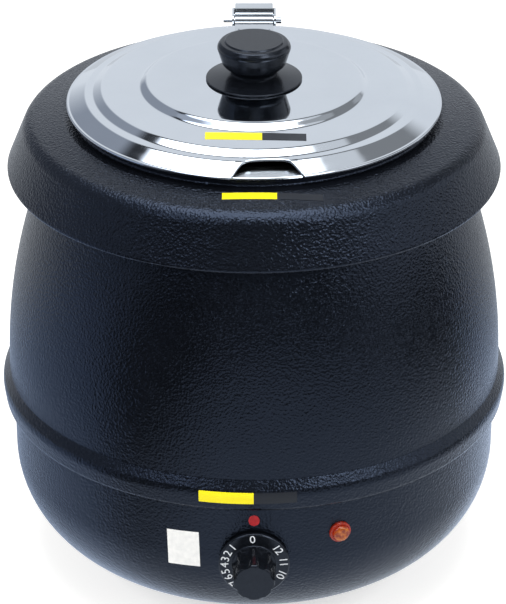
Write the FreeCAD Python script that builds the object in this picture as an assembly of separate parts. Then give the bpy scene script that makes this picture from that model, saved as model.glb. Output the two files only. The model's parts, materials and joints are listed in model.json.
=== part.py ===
import FreeCAD, Part
import math
import os

# Countertop soup kettle: a heated water pan in a painted two-part body, a lift-off collar
# that carries a hinged lid, and a pot that hangs in the collar. Millimetres, +Z up.
# The origin is on the kettle's axis at the table, and the controls face -Y.

V = FreeCAD.Vector
UP = V(0, 0, 1)
AXIS_POINT = V(0, 0, 0)

# Body, driving dimensions
BAND_R = 170.0            # widest radius, on the rolled band
BAND_Z = 131.0            # height of the band's widest line
BAND_RISE = 9.0           # from the widest line up to the crease under the barrel
BAND_STEP_IN = 0.6        # outer end of the slope under the crease, in from the widest line
BAND_STEP_RISE = 3.0      # that end above the widest line
BAND_DROP = 12.6          # from the widest line down to the curled edge
BAND_EDGE_IN = 1.2        # curled edge's corner, in from the widest line
BAND_EDGE_ROUND = 4.0
BAND_CROWN = 0.5          # the band's corner before it is rounded, out from the widest line
BAND_CROWN_ROUND = 14.0
CREASE_ROUND = 2.0
BOWL_IN = 7.0             # straight wall of the bowl, in from the band
BOWL_CORNER = 69.0        # round between the bowl's wall and its flat bottom
SHELL_WALL = 1.0
BOWL_LIP = 4.2            # outward lip of the bowl inside the band
BOWL_LIP_ROUND = 1.0
SEAM_CLEARANCE = 0.2
BARREL_IN = 4.5           # barrel just above the band, in from the band
BARREL_KNEE_Z = 212.0     # where the barrel's lower and upper tangents meet
BARREL_CURVE = 376.0      # radius of the barrel's belly
RIM_IN = 46.0             # outer corner of the body's top rim, in from the band
RIM_Z = 320.0             # top of the body's rim
RIM_ROUND = 3.0

# Fits used all over
THREAD_FIT = 0.05         # screw in its nut or tapped hole
HOLE_FIT = 0.25           # screw in a clearance hole
PANEL_FIT = 0.2           # stem in a hole of the body's wall
REST_CLEARANCE = 0.1      # between pieces that only lie on each other
SEAT_FIT = 0.02           # strip or head on the face it is screwed to
END_GAP = 0.3             # shaft's end in its blind hole
SCREW_TAIL = 1.0          # screw's end beyond its nut
HEAD_ROUND = 0.8
CUT_REACH = 10.0          # how far a drill starts outside the body's wall

# Base and feet
FOOT_HEIGHT = 11.0
FOOT_R = 10.0
FOOT_TAPER = 1.5
FOOT_EDGE_ROUND = 1.0
FOOT_INSIDE = 9.0         # circle of the feet, in from the edge of the bowl's flat bottom
FOOT_ANGLES = {"foot_front": -90.0, "foot_rear_right": 30.0, "foot_rear_left": 150.0}
FOOT_POCKET_R = 5.2
FOOT_POCKET = 5.0
FOOT_SCREW_R = 2.5
FOOT_SCREW_HEAD = 3.0
BASE_SHEET = 1.2
FLANGE_INSIDE = 8.0       # inner edge of the bowl's bottom flange, in from the circle of the feet
BASE_SCREW_TURN = 60.0    # base screws round from the feet
BASE_SCREW_R = 2.0
BASE_SCREW_HEAD_R = 3.6
BASE_SCREW_HEAD = 2.0
BASE_SCREW_LENGTH = 8.0

# Water pan and pot
PAN_LEDGE = 2.0           # pan's flange, in from the rim's corner
PAN_FLANGE = 12.0         # width of the pan's flange, from the pan's wall
PAN_WALL = 1.0
PAN_BOTTOM_Z = 50.0
PAN_CORNER = 14.0
PAN_BEND = 2.0
PAN_FIT = 0.5             # pan in the body's rim hole
POT_SIDE_GAP = 3.7        # pot's wall clear of the pan's wall
POT_WALL = 0.8
POT_CORNER = 18.0
POT_BEND = 2.0
POT_FIT = 0.7             # pot in the collar's mouth
POT_FLANGE_OVER = 2.8     # pot's flange beyond the collar's neck
FLANGE_SLOPE = 8.0        # fall of the collar's lip and the pot's flange, outward, in degrees
WATER_GAP = 18.0          # pot's bottom above the pan's bottom
RIVET_COUNT = 6
RIVET_R = 1.6
RIVET_HEAD_R = 2.1
RIVET_HEAD = 1.0

# Collar
COLLAR_WALL = 1.2
LAND_MARGIN = 1.0         # seat land beyond the body's rim
LAND_WIDTH = 7.5
LAND_ROUND = 3.0
SHOULDER_OUT = 23.8       # width of the top slope, before rounding
SHOULDER_DROP = 4.9       # the slope's fall
SHOULDER_ROUND = 12.0
SKIRT_OUT = 13.9          # width of the skirt's slope
SKIRT_DROP = 38.5         # lower edge of the skirt under the seat land
SKIRT_HEM = 4.0
SKIRT_ROUND = 2.0
NECK_HEIGHT = 6.0
NECK_ROUND = 1.6

# Lid
LID_OVERHANG = 4.5        # lid's edge beyond the collar's neck
LID_WALL = 0.8
LID_EDGE = 1.6            # turned-down edge
LID_EDGE_ROUND = 1.0
LID_BRIM = 1.8            # flat brim inside the edge
LID_BRIM_ROUND = 0.6
LID_GAP = 0.35            # lid's brim above the edge of the pot's flange
SLOPE_WIDTH = 10.7        # outer slope
SLOPE_RISE = 5.4
LEDGE_WIDTH = 4.5         # narrow flat above the slope
STEP_1_WIDTH = 6.4
STEP_1_RISE = 3.2
RING_WIDTH = 24.4         # broad flat ring between the two steps
STEP_2_WIDTH = 4.6
STEP_2_RISE = 4.0
PLATEAU_RISE = 0.5        # slight rise across each flat ring
STEP_ROUND = 5.0
NOTCH_DEPTH = 15.5        # ladle notch, in from the lid's edge
NOTCH_IN_WIDTH = 29.0
NOTCH_OUT_WIDTH = 49.0
NOTCH_ROUND = 4.0
NOTCH_TURN = 4.0          # notch off the line through the hinge, in degrees
NOTCH_BEYOND = 4.0        # notch cutter beyond the lid's edge

# Lid knob
GUARD_R = 31.2
GUARD_RISE = 4.1
GUARD_WALL = 2.0          # at the hub
GUARD_EDGE = 1.0          # thickness of the guard's edge
GUARD_LIFT = 0.3          # guard's edge above the lid
GUARD_HUB_R = 9.0
GUARD_BEYOND = 1.0        # flat seat on the guard beyond the knob's neck
KNOB_NECK_R = 15.2
KNOB_NECK_IN = 0.2        # waist of the neck
KNOB_NECK_RISE = 2.0
KNOB_NECK_ROUND = 1.5
KNOB_BELLY_R = 20.6       # corner under the bulge, before rounding
KNOB_BELLY_RISE = 7.0
KNOB_BELLY_ROUND = 6.0
KNOB_R = 24.2             # widest corner, before rounding
KNOB_WIDE_RISE = 18.7
KNOB_WIDE_ROUND = 3.8
KNOB_HEIGHT = 23.0        # above the guard
KNOB_SHOULDER_R = 21.8
KNOB_SHOULDER_DROP = 1.2
KNOB_SHOULDER_ROUND = 2.0
KNOB_CAP_R = 18.6         # raised flat cap
KNOB_CAP_RISE = 0.9
KNOB_CAP_EDGE = 0.6       # rounding at the top and spread at the foot of the cap's edge
KNOB_CAP_FILLET = 0.3
KNOB_SCREW_R = 2.5
KNOB_SCREW_DEPTH = 14.0   # screw in the knob
KNOB_SCREW_HEAD_R = 4.6
KNOB_SCREW_HEAD = 3.0
WASHER_R = 7.0
WASHER = 1.0

# Lid hinge
PIN_OUT = 5.5             # pin's axis beyond the lid's edge
PIN_R = 1.5
PIN_ABOVE_EDGE = 1.6      # pin's axis above the lid's brim
PIN_LEFT_END = 6.0        # pin's plain end beyond the left ear
PIN_HEAD_R = 2.2
PIN_HEAD = 3.6
PIN_HEAD_GAP = 0.2        # pin's head clear of the right ear
PIN_RUNNING = 0.06        # pin turning in the bracket's ears
PIN_TIGHT = 0.02          # pin held in the leaf's eye
HINGE_SHEET = 1.2
LEAF_WIDTH = 26.0
LEAF_LENGTH = 18.0        # part lying on the lid
LEAF_INSIDE = 0.8         # first bend of the leaf, in from the first step
LEAF_LIFT = 0.05          # leaf above the lid's ring
LEAF_BEND = 3.0
LEAF_OVER = 0.7           # leaf above the lid's ledge and brim on its way down to the pin
LEAF_RIVET_X = 8.0
LEAF_RIVET_HEAD_R = 2.7
LEAF_RIVET_SEAT = 0.35    # rivet's tail clear of the lid's underside
EAR_SIDE_GAP = 0.8        # leaf clear of each ear
EAR_R = 4.0
EAR_SHOULDER = 1.0        # ear's sloped edge ends this far in front of the web
EAR_FOOT_GAP = 0.4        # ear's lower edge above the collar's seat land
WEB_GAP = 5.3             # pin's axis to the web behind it
WEB_LEAN = 3.2            # web's top behind its foot
WEB_ABOVE_PIN = 5.2
FLANGE_BACK = 9.0         # top flange folded back from the web
FLANGE_UP = 0.3           # its rise
BRACKET_FOOT = 9.6
BRACKET_SCREW_X = 8.0
BRACKET_SCREW_BACK = 5.4  # screws behind the web
BRACKET_SCREW_R = 1.9
BRACKET_HEAD_R = 3.2
BRACKET_HEAD = 1.5
BRACKET_NUT_FLATS = 7.0
BRACKET_NUT = 3.0
BRACKET_NUT_GAP = 0.25    # flat nut clear of the collar's curved underside

# Thermostat and its knob
DIAL_Z = 78.0
DIAL_R = 22.8
DIAL_THICK = 3.5
DIAL_GAP = 1.0            # dial skirt clear of the body
DIAL_BACK_EDGE = 0.8      # bevel of the skirt's edges
DIAL_BACK_IN = 0.6
DIAL_FACE_IN = 0.8
DIAL_EDGE_ROUND = 0.7
GRIP_R = 13.2
GRIP_FLARE = 0.4          # grip wider at the dial
GRIP_FOOT_ROUND = 1.0
GRIP_TOP_ROUND = 1.6
GRIP_LENGTH = 22.0
GRIP_FLUTES = 8
GRIP_FLUTE_R = 6.0
GRIP_FLUTE_DEPTH = 1.5
GRIP_FLUTE_START = 1.2    # flutes begin this far in front of the dial
POCKET_SIDE_GAP = 1.4     # knob's hollow clear of the nut's corners
POCKET_END_GAP = 1.2
SHAFT_R = 3.0
SHAFT_FLAT = 2.1          # flat of the shaft, from its axis
SHAFT_RUNNING = 0.05
SHAFT_TIGHT = 0.02
SHAFT_IN_KNOB = 17.0
KEY_START = 0.1           # knob's flat begins this far in front of the dial's face
BUSH_R = 5.0
BUSH_BEYOND = 0.4         # bush beyond its nut
BUSH_SHOULDER_R = 8.0
BUSH_SHOULDER = 2.0
NUT_FLATS = 14.0
NUT_THICK = 2.5
THERMOSTAT = (34.0, 28.0, 34.0)
THERMOSTAT_ROUND = 1.5
THERMOSTAT_FRONT_GAP = 8.0
SHAFT_IN_BODY = 9.0
CAPILLARY_R = 1.0
CAPILLARY_BEND = 16.0
CAPILLARY_LOOP = 27.0     # capillary's run beyond the bulb
CAPILLARY_RISE = 6.0      # its outlet above the thermostat's bottom
BULB_R = 3.0
BULB_LENGTH = 70.0
BULB_OUT = 22.0           # bulb outside the heater's ring
CLIP_WIDTH = 12.0
CLIP_SHEET = 0.8
CLIP_FIT = 0.1
CLIP_TAB = 6.0

# Heater under the pan
HEATER_IN = 40.0          # heater's ring, in from the pan's wall
HEATER_TUBE_R = 4.0
HEATER_END_X = 18.0
HEATER_END_OUT = 28.0     # heater's ends outside its ring
HEATER_BEND = 10.0
HEATER_STUD_R = 2.0
HEATER_STUD = 8.0
CLAMP_OUT = 8.0           # clamp plate outside the heater's ring
CLAMP_HOLE_R = 20.0
CLAMP_SHEET = 1.5
CLAMP_END_GAP = 2.0       # clamp plate's slot clear of the heater's ends
STUD_IN = 25.0            # studs, in from the heater's ring
STUD_R = 2.5
STUD_COUNT = 3
STUD_TURN = 30.0
PLAIN_NUT_FLATS = 8.0
PLAIN_NUT = 4.0
SPACER_R = 4.5
SPACER = 5.5
SHIELD_IN = 10.0          # shield's edge, in from the pan's wall
SHIELD_SHEET = 1.0
SHIELD_HOLE_R = 14.0
CUTOUT_R = 8.0
CUTOUT_HEIGHT = 9.0
CUTOUT_FLANGE = 4.0
CUTOUT_FLANGE_SHEET = 1.0
CUTOUT_TAB = 5.0
CUTOUT_TAB_SHEET = 0.8
CUTOUT_TAB_WIDTH = 6.0
CUTOUT_TAB_X = 5.0

# Pilot lamp
LAMP_ANGLE = 19.7         # round from the front towards +X
LAMP_Z = 94.5
LENS_R = 7.2
LENS_FLANGE = 1.8
LENS_FLANGE_ROUND = 0.9
LENS_DOME_R = 5.4
LENS_DOME = 3.2
LENS_DOME_FOOT = 0.6      # dome wider at its foot
LENS_FOOT_ROUND = 0.4
LENS_DOME_ROUND = 3.0
LENS_SKIN = 4.0           # thickness of the lens over the bore's point
LENS_BORE_END = 0.4       # bore's straight wall ends this far inside the body
LAMP_STEM_R = 5.0
LAMP_STEM = 20.0
LAMP_BORE_R = 3.6
LAMP_PLUG = 6.0           # bulb's plug in the stem
LAMP_BULB_R = 2.6
LAMP_BULB_END = 2.0       # bulb's tip inside the body's wall
LAMP_BULB_TIP = 1.0
LAMP_NUT_R = 8.0
LAMP_NUT = 3.0

# Cord gland at the back
GLAND_Z = 92.0
GLAND_R = 10.0
GLAND_LIFT = 0.05         # gland's collar off the wall
GLAND_COLLAR = 5.0
GLAND_COLLAR_ROUND = 0.8
GLAND_STEP = 0.4
GLAND_STEP_IN = 1.6
GLAND_STEP_ROUND = 0.5
GLAND_NOSE_IN = 2.6
GLAND_NOSE_ROUND = 2.0
GLAND_OUT = 14.0
GLAND_STEM_R = 7.0
GLAND_IN = 14.0
GLAND_BORE_R = 4.0
GLAND_NUT_FLATS = 22.0
GLAND_NUT = 4.0

# Terminals on the base plate
BLOCK = (46.0, 20.0, 14.0)
BLOCK_IN = 17.0           # block's middle, in from the bowl's bottom flange
BLOCK_WAYS = 3
BLOCK_PITCH = 12.0
BLOCK_WELL_R = 2.2
BLOCK_WELL = 4.0
BLOCK_SLOT = 2.0
BLOCK_SLOT_DEPTH = 5.0
BLOCK_SCREW_X = 20.0
BLOCK_SCREW_R = 1.5
BLOCK_SCREW_HEAD = 1.6
EARTH_BESIDE = 25.0       # earth stud beside the block
EARTH_BEFORE = 22.0       # and in front of the block's middle
EARTH_R = 2.5
EARTH_STUD = 12.0
EARTH_COLLAR = 2.0
LEAD_R = 1.2
LEAD_BEND = 9.0
LEAD_RISE = 8.0           # leads above the base plate
LEAD_APART = 1.5          # lamp's two leads, above and below its axis
LEAD_STRAIGHT = 10.0      # straight run behind the lamp and beside the block
LEAD_OUT = 8.0            # leads turn this far outside the heater's ends
LEAD_HEATER_RISE = 14.0   # where they turn up to the heater
LEAD_FRONT_RISE = 22.0    # where they turn up to the thermostat
LEAD_FRONT_OUT = 20.0     # front leads outside the bowl's flat bottom
LEAD_SIDE = 8.0           # front leads to the sides of the middle
LEAD_LAMP_RISE = 4.0      # lamp lead above the shaft's axis
LEAD_PAN_GAP = 8.0        # lamp's return lead outside the pan

# Radii and places worked out from the sizes above
BARREL_R = BAND_R - BARREL_IN
BOWL_R = BAND_R - BOWL_IN
BAND_STEP_R = BAND_R - BAND_STEP_IN
RIM_R = BAND_R - RIM_IN
FOOT_CIRCLE = BOWL_R - BOWL_CORNER - FOOT_INSIDE
BASE_R = FOOT_CIRCLE + FOOT_R
BASE_SCREW_CIRCLE = FOOT_CIRCLE
BASE_SCREW_ANGLES = [angle + BASE_SCREW_TURN for angle in FOOT_ANGLES.values()]
FOOT_SCREW_HOLE_R = FOOT_SCREW_R + HOLE_FIT
FOOT_SCREW_HEAD_R = FOOT_POCKET_R - HOLE_FIT
BOWL_FLANGE_IN_R = FOOT_CIRCLE - FLANGE_INSIDE
PAN_FLANGE_R = RIM_R - PAN_LEDGE
PAN_R = PAN_FLANGE_R - PAN_FLANGE
POT_R = PAN_R - PAN_WALL - POT_SIDE_GAP
PAN_FLANGE_HOLE_R = PAN_R + PAN_BEND + PAN_FIT
LAND_R = RIM_R + LAND_MARGIN
NECK_R = LAND_R - LAND_WIDTH
SHOULDER_R = LAND_R + SHOULDER_OUT
SKIRT_R = SHOULDER_R + SKIRT_OUT
RIVET_CIRCLE = (PAN_FLANGE_HOLE_R + NECK_R - COLLAR_WALL) / 2
POT_FLANGE_R = NECK_R + POT_FLANGE_OVER
MOUTH_R = POT_R + POT_BEND + POT_FIT
LID_R = NECK_R + LID_OVERHANG
SLOPE_OUT_R = LID_R - LID_BRIM
SLOPE_IN_R = SLOPE_OUT_R - SLOPE_WIDTH
STEP_1_OUT_R = SLOPE_IN_R - LEDGE_WIDTH
STEP_1_IN_R = STEP_1_OUT_R - STEP_1_WIDTH
STEP_2_OUT_R = STEP_1_IN_R - RING_WIDTH
STEP_2_IN_R = STEP_2_OUT_R - STEP_2_WIDTH
NOTCH_IN_R = LID_R - NOTCH_DEPTH
PIN_Y = LID_R + PIN_OUT
HEATER_RING_R = PAN_R - HEATER_IN
STUD_CIRCLE = HEATER_RING_R - STUD_IN
SHIELD_R = PAN_R - SHIELD_IN
CLAMP_R = HEATER_RING_R + CLAMP_OUT
HEATER_END_Y = HEATER_RING_R + HEATER_END_OUT
BULB_Y = -(HEATER_RING_R + BULB_OUT)
BLOCK_Y = BOWL_FLANGE_IN_R - BLOCK_IN
EARTH_X = -(BLOCK[0] / 2 + EARTH_BESIDE)
EARTH_Y = BLOCK_Y - EARTH_BEFORE

BASE_Z = FOOT_HEIGHT
BOWL_BOTTOM_Z = BASE_Z + BASE_SHEET
BOWL_TURN_Z = BOWL_BOTTOM_Z + BOWL_CORNER
FLOOR_Z = BOWL_BOTTOM_Z + SHELL_WALL
SEAT_Z = RIM_Z + PAN_WALL
LAND_Z = SEAT_Z + COLLAR_WALL
SKIRT_Z = LAND_Z - SKIRT_DROP
LIP_Z = LAND_Z + NECK_HEIGHT
FLANGE_Z = LIP_Z + REST_CLEARANCE
LIP_FALL = math.tan(math.radians(FLANGE_SLOPE))
FLANGE_EDGE_Z = FLANGE_Z - POT_FLANGE_OVER * LIP_FALL
BRIM_Z = FLANGE_EDGE_Z + POT_WALL + LID_GAP + LID_WALL
LEDGE_Z = BRIM_Z + SLOPE_RISE
RING_Z = LEDGE_Z + PLATEAU_RISE + STEP_1_RISE
LID_TOP_Z = RING_Z + PLATEAU_RISE + STEP_2_RISE
PIN_Z = BRIM_Z + PIN_ABOVE_EDGE
EAR_GAP = LEAF_WIDTH + 2 * EAR_SIDE_GAP
DIAL_BACK_Y = -(BOWL_R + DIAL_GAP)
DIAL_FRONT_Y = DIAL_BACK_Y - DIAL_THICK
CLAMP_TOP_Z = PAN_BOTTOM_Z - 2 * HEATER_TUBE_R
CLAMP_Z = CLAMP_TOP_Z - CLAMP_SHEET
SHIELD_TOP_Z = CLAMP_Z - PLAIN_NUT - SPACER
SHIELD_Z = SHIELD_TOP_Z - SHIELD_SHEET
LEAD_Z = BOWL_BOTTOM_Z + LEAD_RISE

nodes = {}


def limited(corners):
    """Corner points (vector, radius) with each radius held to what its two runs have room for."""
    held = list(corners)
    for i in range(1, len(corners) - 1):
        point, radius = corners[i]
        if radius <= 0:
            continue
        half = (corners[i - 1][0] - point).getAngle(corners[i + 1][0] - point) / 2
        room = []
        for j in (i - 1, i + 1):
            share = radius / (radius + corners[j][1])
            room.append((corners[j][0] - point).Length * share)
        held[i] = (point, min(radius, 0.999 * min(room) * math.tan(half)))
    return held


def edges_through(corners):
    """Straight runs between corner points, each corner turned by an arc of its own radius."""
    edges = []
    start = corners[0][0]
    for i in range(1, len(corners) - 1):
        point, radius = corners[i]
        enter = leave = point
        if radius > 0:
            back = (corners[i - 1][0] - point).normalize()
            ahead = (corners[i + 1][0] - point).normalize()
            half = back.getAngle(ahead) / 2
            enter = point + back * (radius / math.tan(half))
            leave = point + ahead * (radius / math.tan(half))
            middle = point + (back + ahead).normalize() * (radius / math.sin(half) - radius)
        edges.append(Part.LineSegment(start, enter).toShape())
        if radius > 0:
            edges.append(Part.Arc(enter, middle, leave).toShape())
        start = leave
    edges.append(Part.LineSegment(start, corners[-1][0]).toShape())
    return edges


def inner_corners(corners, wall):
    """The same line moved to its left by a wall, in a plane of (across, height)."""
    points = [c[0] for c in corners]
    normals = []
    for a, b in zip(points, points[1:]):
        run = (b - a).normalize()
        normals.append(V(-run.z, 0, run.x))
    moved = [(points[0] + normals[0] * wall, 0)]
    for i in range(1, len(points) - 1):
        first, second = normals[i - 1], normals[i]
        shift = (first + second) * (wall / (1 + first.dot(second)))
        left_turn = first.x * second.z - first.z * second.x > 0
        radius = corners[i][1]
        if radius > 0:
            radius = max(radius - wall, 0) if left_turn else radius + wall
        moved.append((points[i] + shift, radius))
    moved.append((points[-1] + normals[-1] * wall, 0))
    return moved


def sheet_face(profile, wall):
    """Face of a bent sheet: profile is (across, height, radius) with the wall to its left."""
    outer = limited([(V(x, 0, z), radius) for x, z, radius in profile])
    inner = inner_corners(outer, wall)
    ends = [Part.LineSegment(outer[i][0], inner[i][0]).toShape() for i in (0, -1)]
    on_axis = [e for e in ends if e.Length > 0]
    edges = edges_through(outer) + edges_through(inner) + on_axis
    return Part.Face(Part.Wire(Part.__sortEdges__(edges)))


def turned_sheet(profile, wall):
    """A sheet-metal shell turned about the kettle's axis."""
    return sheet_face(profile, wall).revolve(AXIS_POINT, UP, 360)


def turned(profile, centre=AXIS_POINT, along=UP):
    """A solid turned from a closed (radius, height, corner radius) outline, then set along a line."""
    corners = limited([(V(r, 0, z), c) for r, z, c in profile + profile[:1]])
    face = Part.Face(Part.Wire(Part.__sortEdges__(edges_through(corners))))
    solid = face.revolve(AXIS_POINT, UP, 360)
    solid.Placement = FreeCAD.Placement(centre, FreeCAD.Rotation(UP, along))
    return solid


def rod(radius, length, base, along=UP):
    return Part.makeCylinder(radius, length, base, along)


def ring(outer, inner, length, base, along=UP):
    return rod(outer, length, base, along).cut(rod(inner, length, base, along))


def hex_nut(flats, bore, thick, base, along=UP):
    corner = flats / math.sqrt(3)
    points = [V(corner * math.cos(math.radians(60 * i)), corner * math.sin(math.radians(60 * i)), 0)
              for i in range(7)]
    nut = Part.Face(Part.makePolygon(points)).extrude(V(0, 0, thick)).cut(rod(bore, thick, AXIS_POINT))
    nut.Placement = FreeCAD.Placement(base, FreeCAD.Rotation(UP, along))
    return nut


def block(low, high):
    return Part.makeBox(high.x - low.x, high.y - low.y, high.z - low.z, low)


def on_circle(radius, degrees, z):
    return V(radius * math.cos(math.radians(degrees)), radius * math.sin(math.radians(degrees)), z)


def tube(radius, corners):
    """A round bar along straight runs joined by tangent arcs."""
    path = Part.Wire(edges_through(limited(corners)))
    start = corners[0][0]
    along = corners[1][0] - start
    section = Part.Wire(Part.makeCircle(radius, start, along))
    return path.makePipeShell([section], True, False)


def bowl_radius(z, wall=0.0):
    """Radius of the bowl at a height, less a wall."""
    if z >= BOWL_TURN_Z:
        return BOWL_R - wall
    reach = BOWL_CORNER - wall
    return BOWL_R - BOWL_CORNER + math.sqrt(reach ** 2 - (BOWL_TURN_Z - z) ** 2)


def collar_top(r):
    """Height of the collar's top slope at a radius outside the seat land."""
    return LAND_Z - SHOULDER_DROP * (r - LAND_R) / (SHOULDER_R - LAND_R)


def make_feet():
    foot_holes = []
    screws = []
    nuts = []
    for name, angle in FOOT_ANGLES.items():
        spot = on_circle(FOOT_CIRCLE, angle, 0)
        outline = [(FOOT_SCREW_HOLE_R, FOOT_POCKET, 0), (FOOT_POCKET_R, FOOT_POCKET, 0),
                   (FOOT_POCKET_R, 0, 0), (FOOT_R - FOOT_TAPER, 0, FOOT_EDGE_ROUND),
                   (FOOT_R, FOOT_HEIGHT, 0), (FOOT_SCREW_HOLE_R, FOOT_HEIGHT, 0)]
        nodes[name] = turned(outline, spot)
        hole_base = V(spot.x, spot.y, BASE_Z)
        foot_holes.append(rod(FOOT_SCREW_HOLE_R, BASE_SHEET + SHELL_WALL, hole_base))
        head = rod(FOOT_SCREW_HEAD_R, FOOT_SCREW_HEAD, V(spot.x, spot.y, FOOT_POCKET - FOOT_SCREW_HEAD))
        shank_length = FLOOR_Z + PLAIN_NUT + SCREW_TAIL - FOOT_POCKET
        shank = rod(FOOT_SCREW_R, shank_length, V(spot.x, spot.y, FOOT_POCKET))
        screws.append(head.fuse(shank))
        nut_base = V(spot.x, spot.y, FLOOR_Z)
        nuts.append(hex_nut(PLAIN_NUT_FLATS, FOOT_SCREW_R + THREAD_FIT, PLAIN_NUT, nut_base))
    nodes["foot_screws"] = Part.makeCompound(screws)
    nodes["foot_nuts"] = Part.makeCompound(nuts)
    return foot_holes


def make_base_screws():
    holes = []
    screws = []
    for angle in BASE_SCREW_ANGLES:
        spot = on_circle(BASE_SCREW_CIRCLE, angle, BASE_Z)
        holes.append(rod(BASE_SCREW_R + THREAD_FIT, BASE_SHEET + SHELL_WALL, spot))
        head = rod(BASE_SCREW_HEAD_R, BASE_SCREW_HEAD, spot - UP * BASE_SCREW_HEAD)
        rounded = head.makeFillet(HEAD_ROUND, [head.Edges[2]])
        screws.append(rounded.fuse(rod(BASE_SCREW_R, BASE_SCREW_LENGTH, spot)))
    nodes["base_screws"] = Part.makeCompound(screws)
    return holes


# Where things pass through the bowl's wall
LAMP_WAY = V(math.sin(math.radians(LAMP_ANGLE)), -math.cos(math.radians(LAMP_ANGLE)), 0)
LAMP_FOOT = LAMP_WAY * BOWL_R + UP * LAMP_Z
BACK = V(0, 1, 0)
FRONT = V(0, -1, 0)


def make_bowl(floor_holes):
    step = math.atan2(BAND_RISE - BAND_STEP_RISE, BAND_STEP_R - BARREL_R)
    lip_r = BOWL_R + BOWL_LIP
    # the lip's top edge lies just under the slope of the band's inner face
    inner_slope_z = (BAND_Z + BAND_RISE - (lip_r - BARREL_R) * math.tan(step)
                     - SHELL_WALL / math.cos(step))
    lip_z = inner_slope_z - SEAM_CLEARANCE - SHELL_WALL
    profile = [(BOWL_FLANGE_IN_R, BOWL_BOTTOM_Z, 0), (BOWL_R, BOWL_BOTTOM_Z, BOWL_CORNER),
               (BOWL_R, lip_z, BOWL_LIP_ROUND), (lip_r, lip_z, 0)]
    bowl = turned_sheet(profile, SHELL_WALL)
    reach = 2 * (SHELL_WALL + CUT_REACH)
    cuts = list(floor_holes)
    cuts.append(rod(BUSH_R + PANEL_FIT, reach, V(0, -BOWL_R - CUT_REACH, DIAL_Z), BACK))
    cuts.append(rod(LAMP_STEM_R + PANEL_FIT, reach, LAMP_FOOT + LAMP_WAY * CUT_REACH, LAMP_WAY * -1))
    cuts.append(rod(GLAND_STEM_R + PANEL_FIT, reach, V(0, BOWL_R + CUT_REACH, GLAND_Z), FRONT))
    nodes["lower_shell"] = bowl.cut(cuts)


def make_base_plate(floor_holes):
    plate = rod(BASE_R, BASE_SHEET, UP * BASE_Z)
    cuts = list(floor_holes)
    for x in (-BLOCK_SCREW_X, BLOCK_SCREW_X):
        cuts.append(rod(BLOCK_SCREW_R + THREAD_FIT, BASE_SHEET, V(x, BLOCK_Y, BASE_Z)))
    cuts.append(rod(EARTH_R + THREAD_FIT, BASE_SHEET, V(EARTH_X, EARTH_Y, BASE_Z)))
    nodes["base_plate"] = plate.cut(cuts)


def rivet_spots(z):
    return [on_circle(RIVET_CIRCLE, 360.0 / RIVET_COUNT * (i + 0.5), z) for i in range(RIVET_COUNT)]


def make_barrel():
    edge_z = BAND_Z - BAND_DROP
    profile = [(BOWL_R + SEAM_CLEARANCE, edge_z, 0), (BAND_R - BAND_EDGE_IN, edge_z, BAND_EDGE_ROUND),
               (BAND_R + BAND_CROWN, BAND_Z, BAND_CROWN_ROUND),
               (BAND_STEP_R, BAND_Z + BAND_STEP_RISE, BAND_STEP_RISE),
               (BARREL_R, BAND_Z + BAND_RISE, CREASE_ROUND), (BARREL_R, BARREL_KNEE_Z, BARREL_CURVE),
               (RIM_R, RIM_Z, RIM_ROUND), (PAN_FLANGE_HOLE_R, RIM_Z, 0)]
    barrel = turned_sheet(profile, SHELL_WALL)
    holes = [rod(RIVET_R + THREAD_FIT, SHELL_WALL, spot) for spot in rivet_spots(RIM_Z - SHELL_WALL)]
    nodes["upper_shell"] = barrel.cut(holes)


def stud_spots(z):
    return [on_circle(STUD_CIRCLE, 360.0 / STUD_COUNT * i + STUD_TURN, z) for i in range(STUD_COUNT)]


def make_pan():
    profile = [(0, PAN_BOTTOM_Z, 0), (PAN_R, PAN_BOTTOM_Z, PAN_CORNER), (PAN_R, RIM_Z, PAN_BEND),
               (PAN_FLANGE_R, RIM_Z, 0)]
    pan = turned_sheet(profile, PAN_WALL)
    holes = [rod(RIVET_R + THREAD_FIT, PAN_WALL, spot) for spot in rivet_spots(RIM_Z)]
    stud_end_z = SHIELD_Z - PLAIN_NUT - SCREW_TAIL
    stud_length = PAN_BOTTOM_Z + PAN_WALL / 2 - stud_end_z
    studs = [rod(STUD_R, stud_length, spot) for spot in stud_spots(stud_end_z)]
    nodes["water_pan"] = pan.cut(holes).fuse(studs).removeSplitter()
    rivets = []
    for spot in rivet_spots(RIM_Z - SHELL_WALL):
        shank = rod(RIVET_R, SHELL_WALL + PAN_WALL, spot)
        head = rod(RIVET_HEAD_R, RIVET_HEAD, spot + UP * (SHELL_WALL + PAN_WALL))
        tail = rod(RIVET_HEAD_R, RIVET_HEAD, spot - UP * RIVET_HEAD)
        rivets.append(shank.fuse([head, tail]))
    nodes["pan_rivets"] = Part.makeCompound(rivets)


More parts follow.
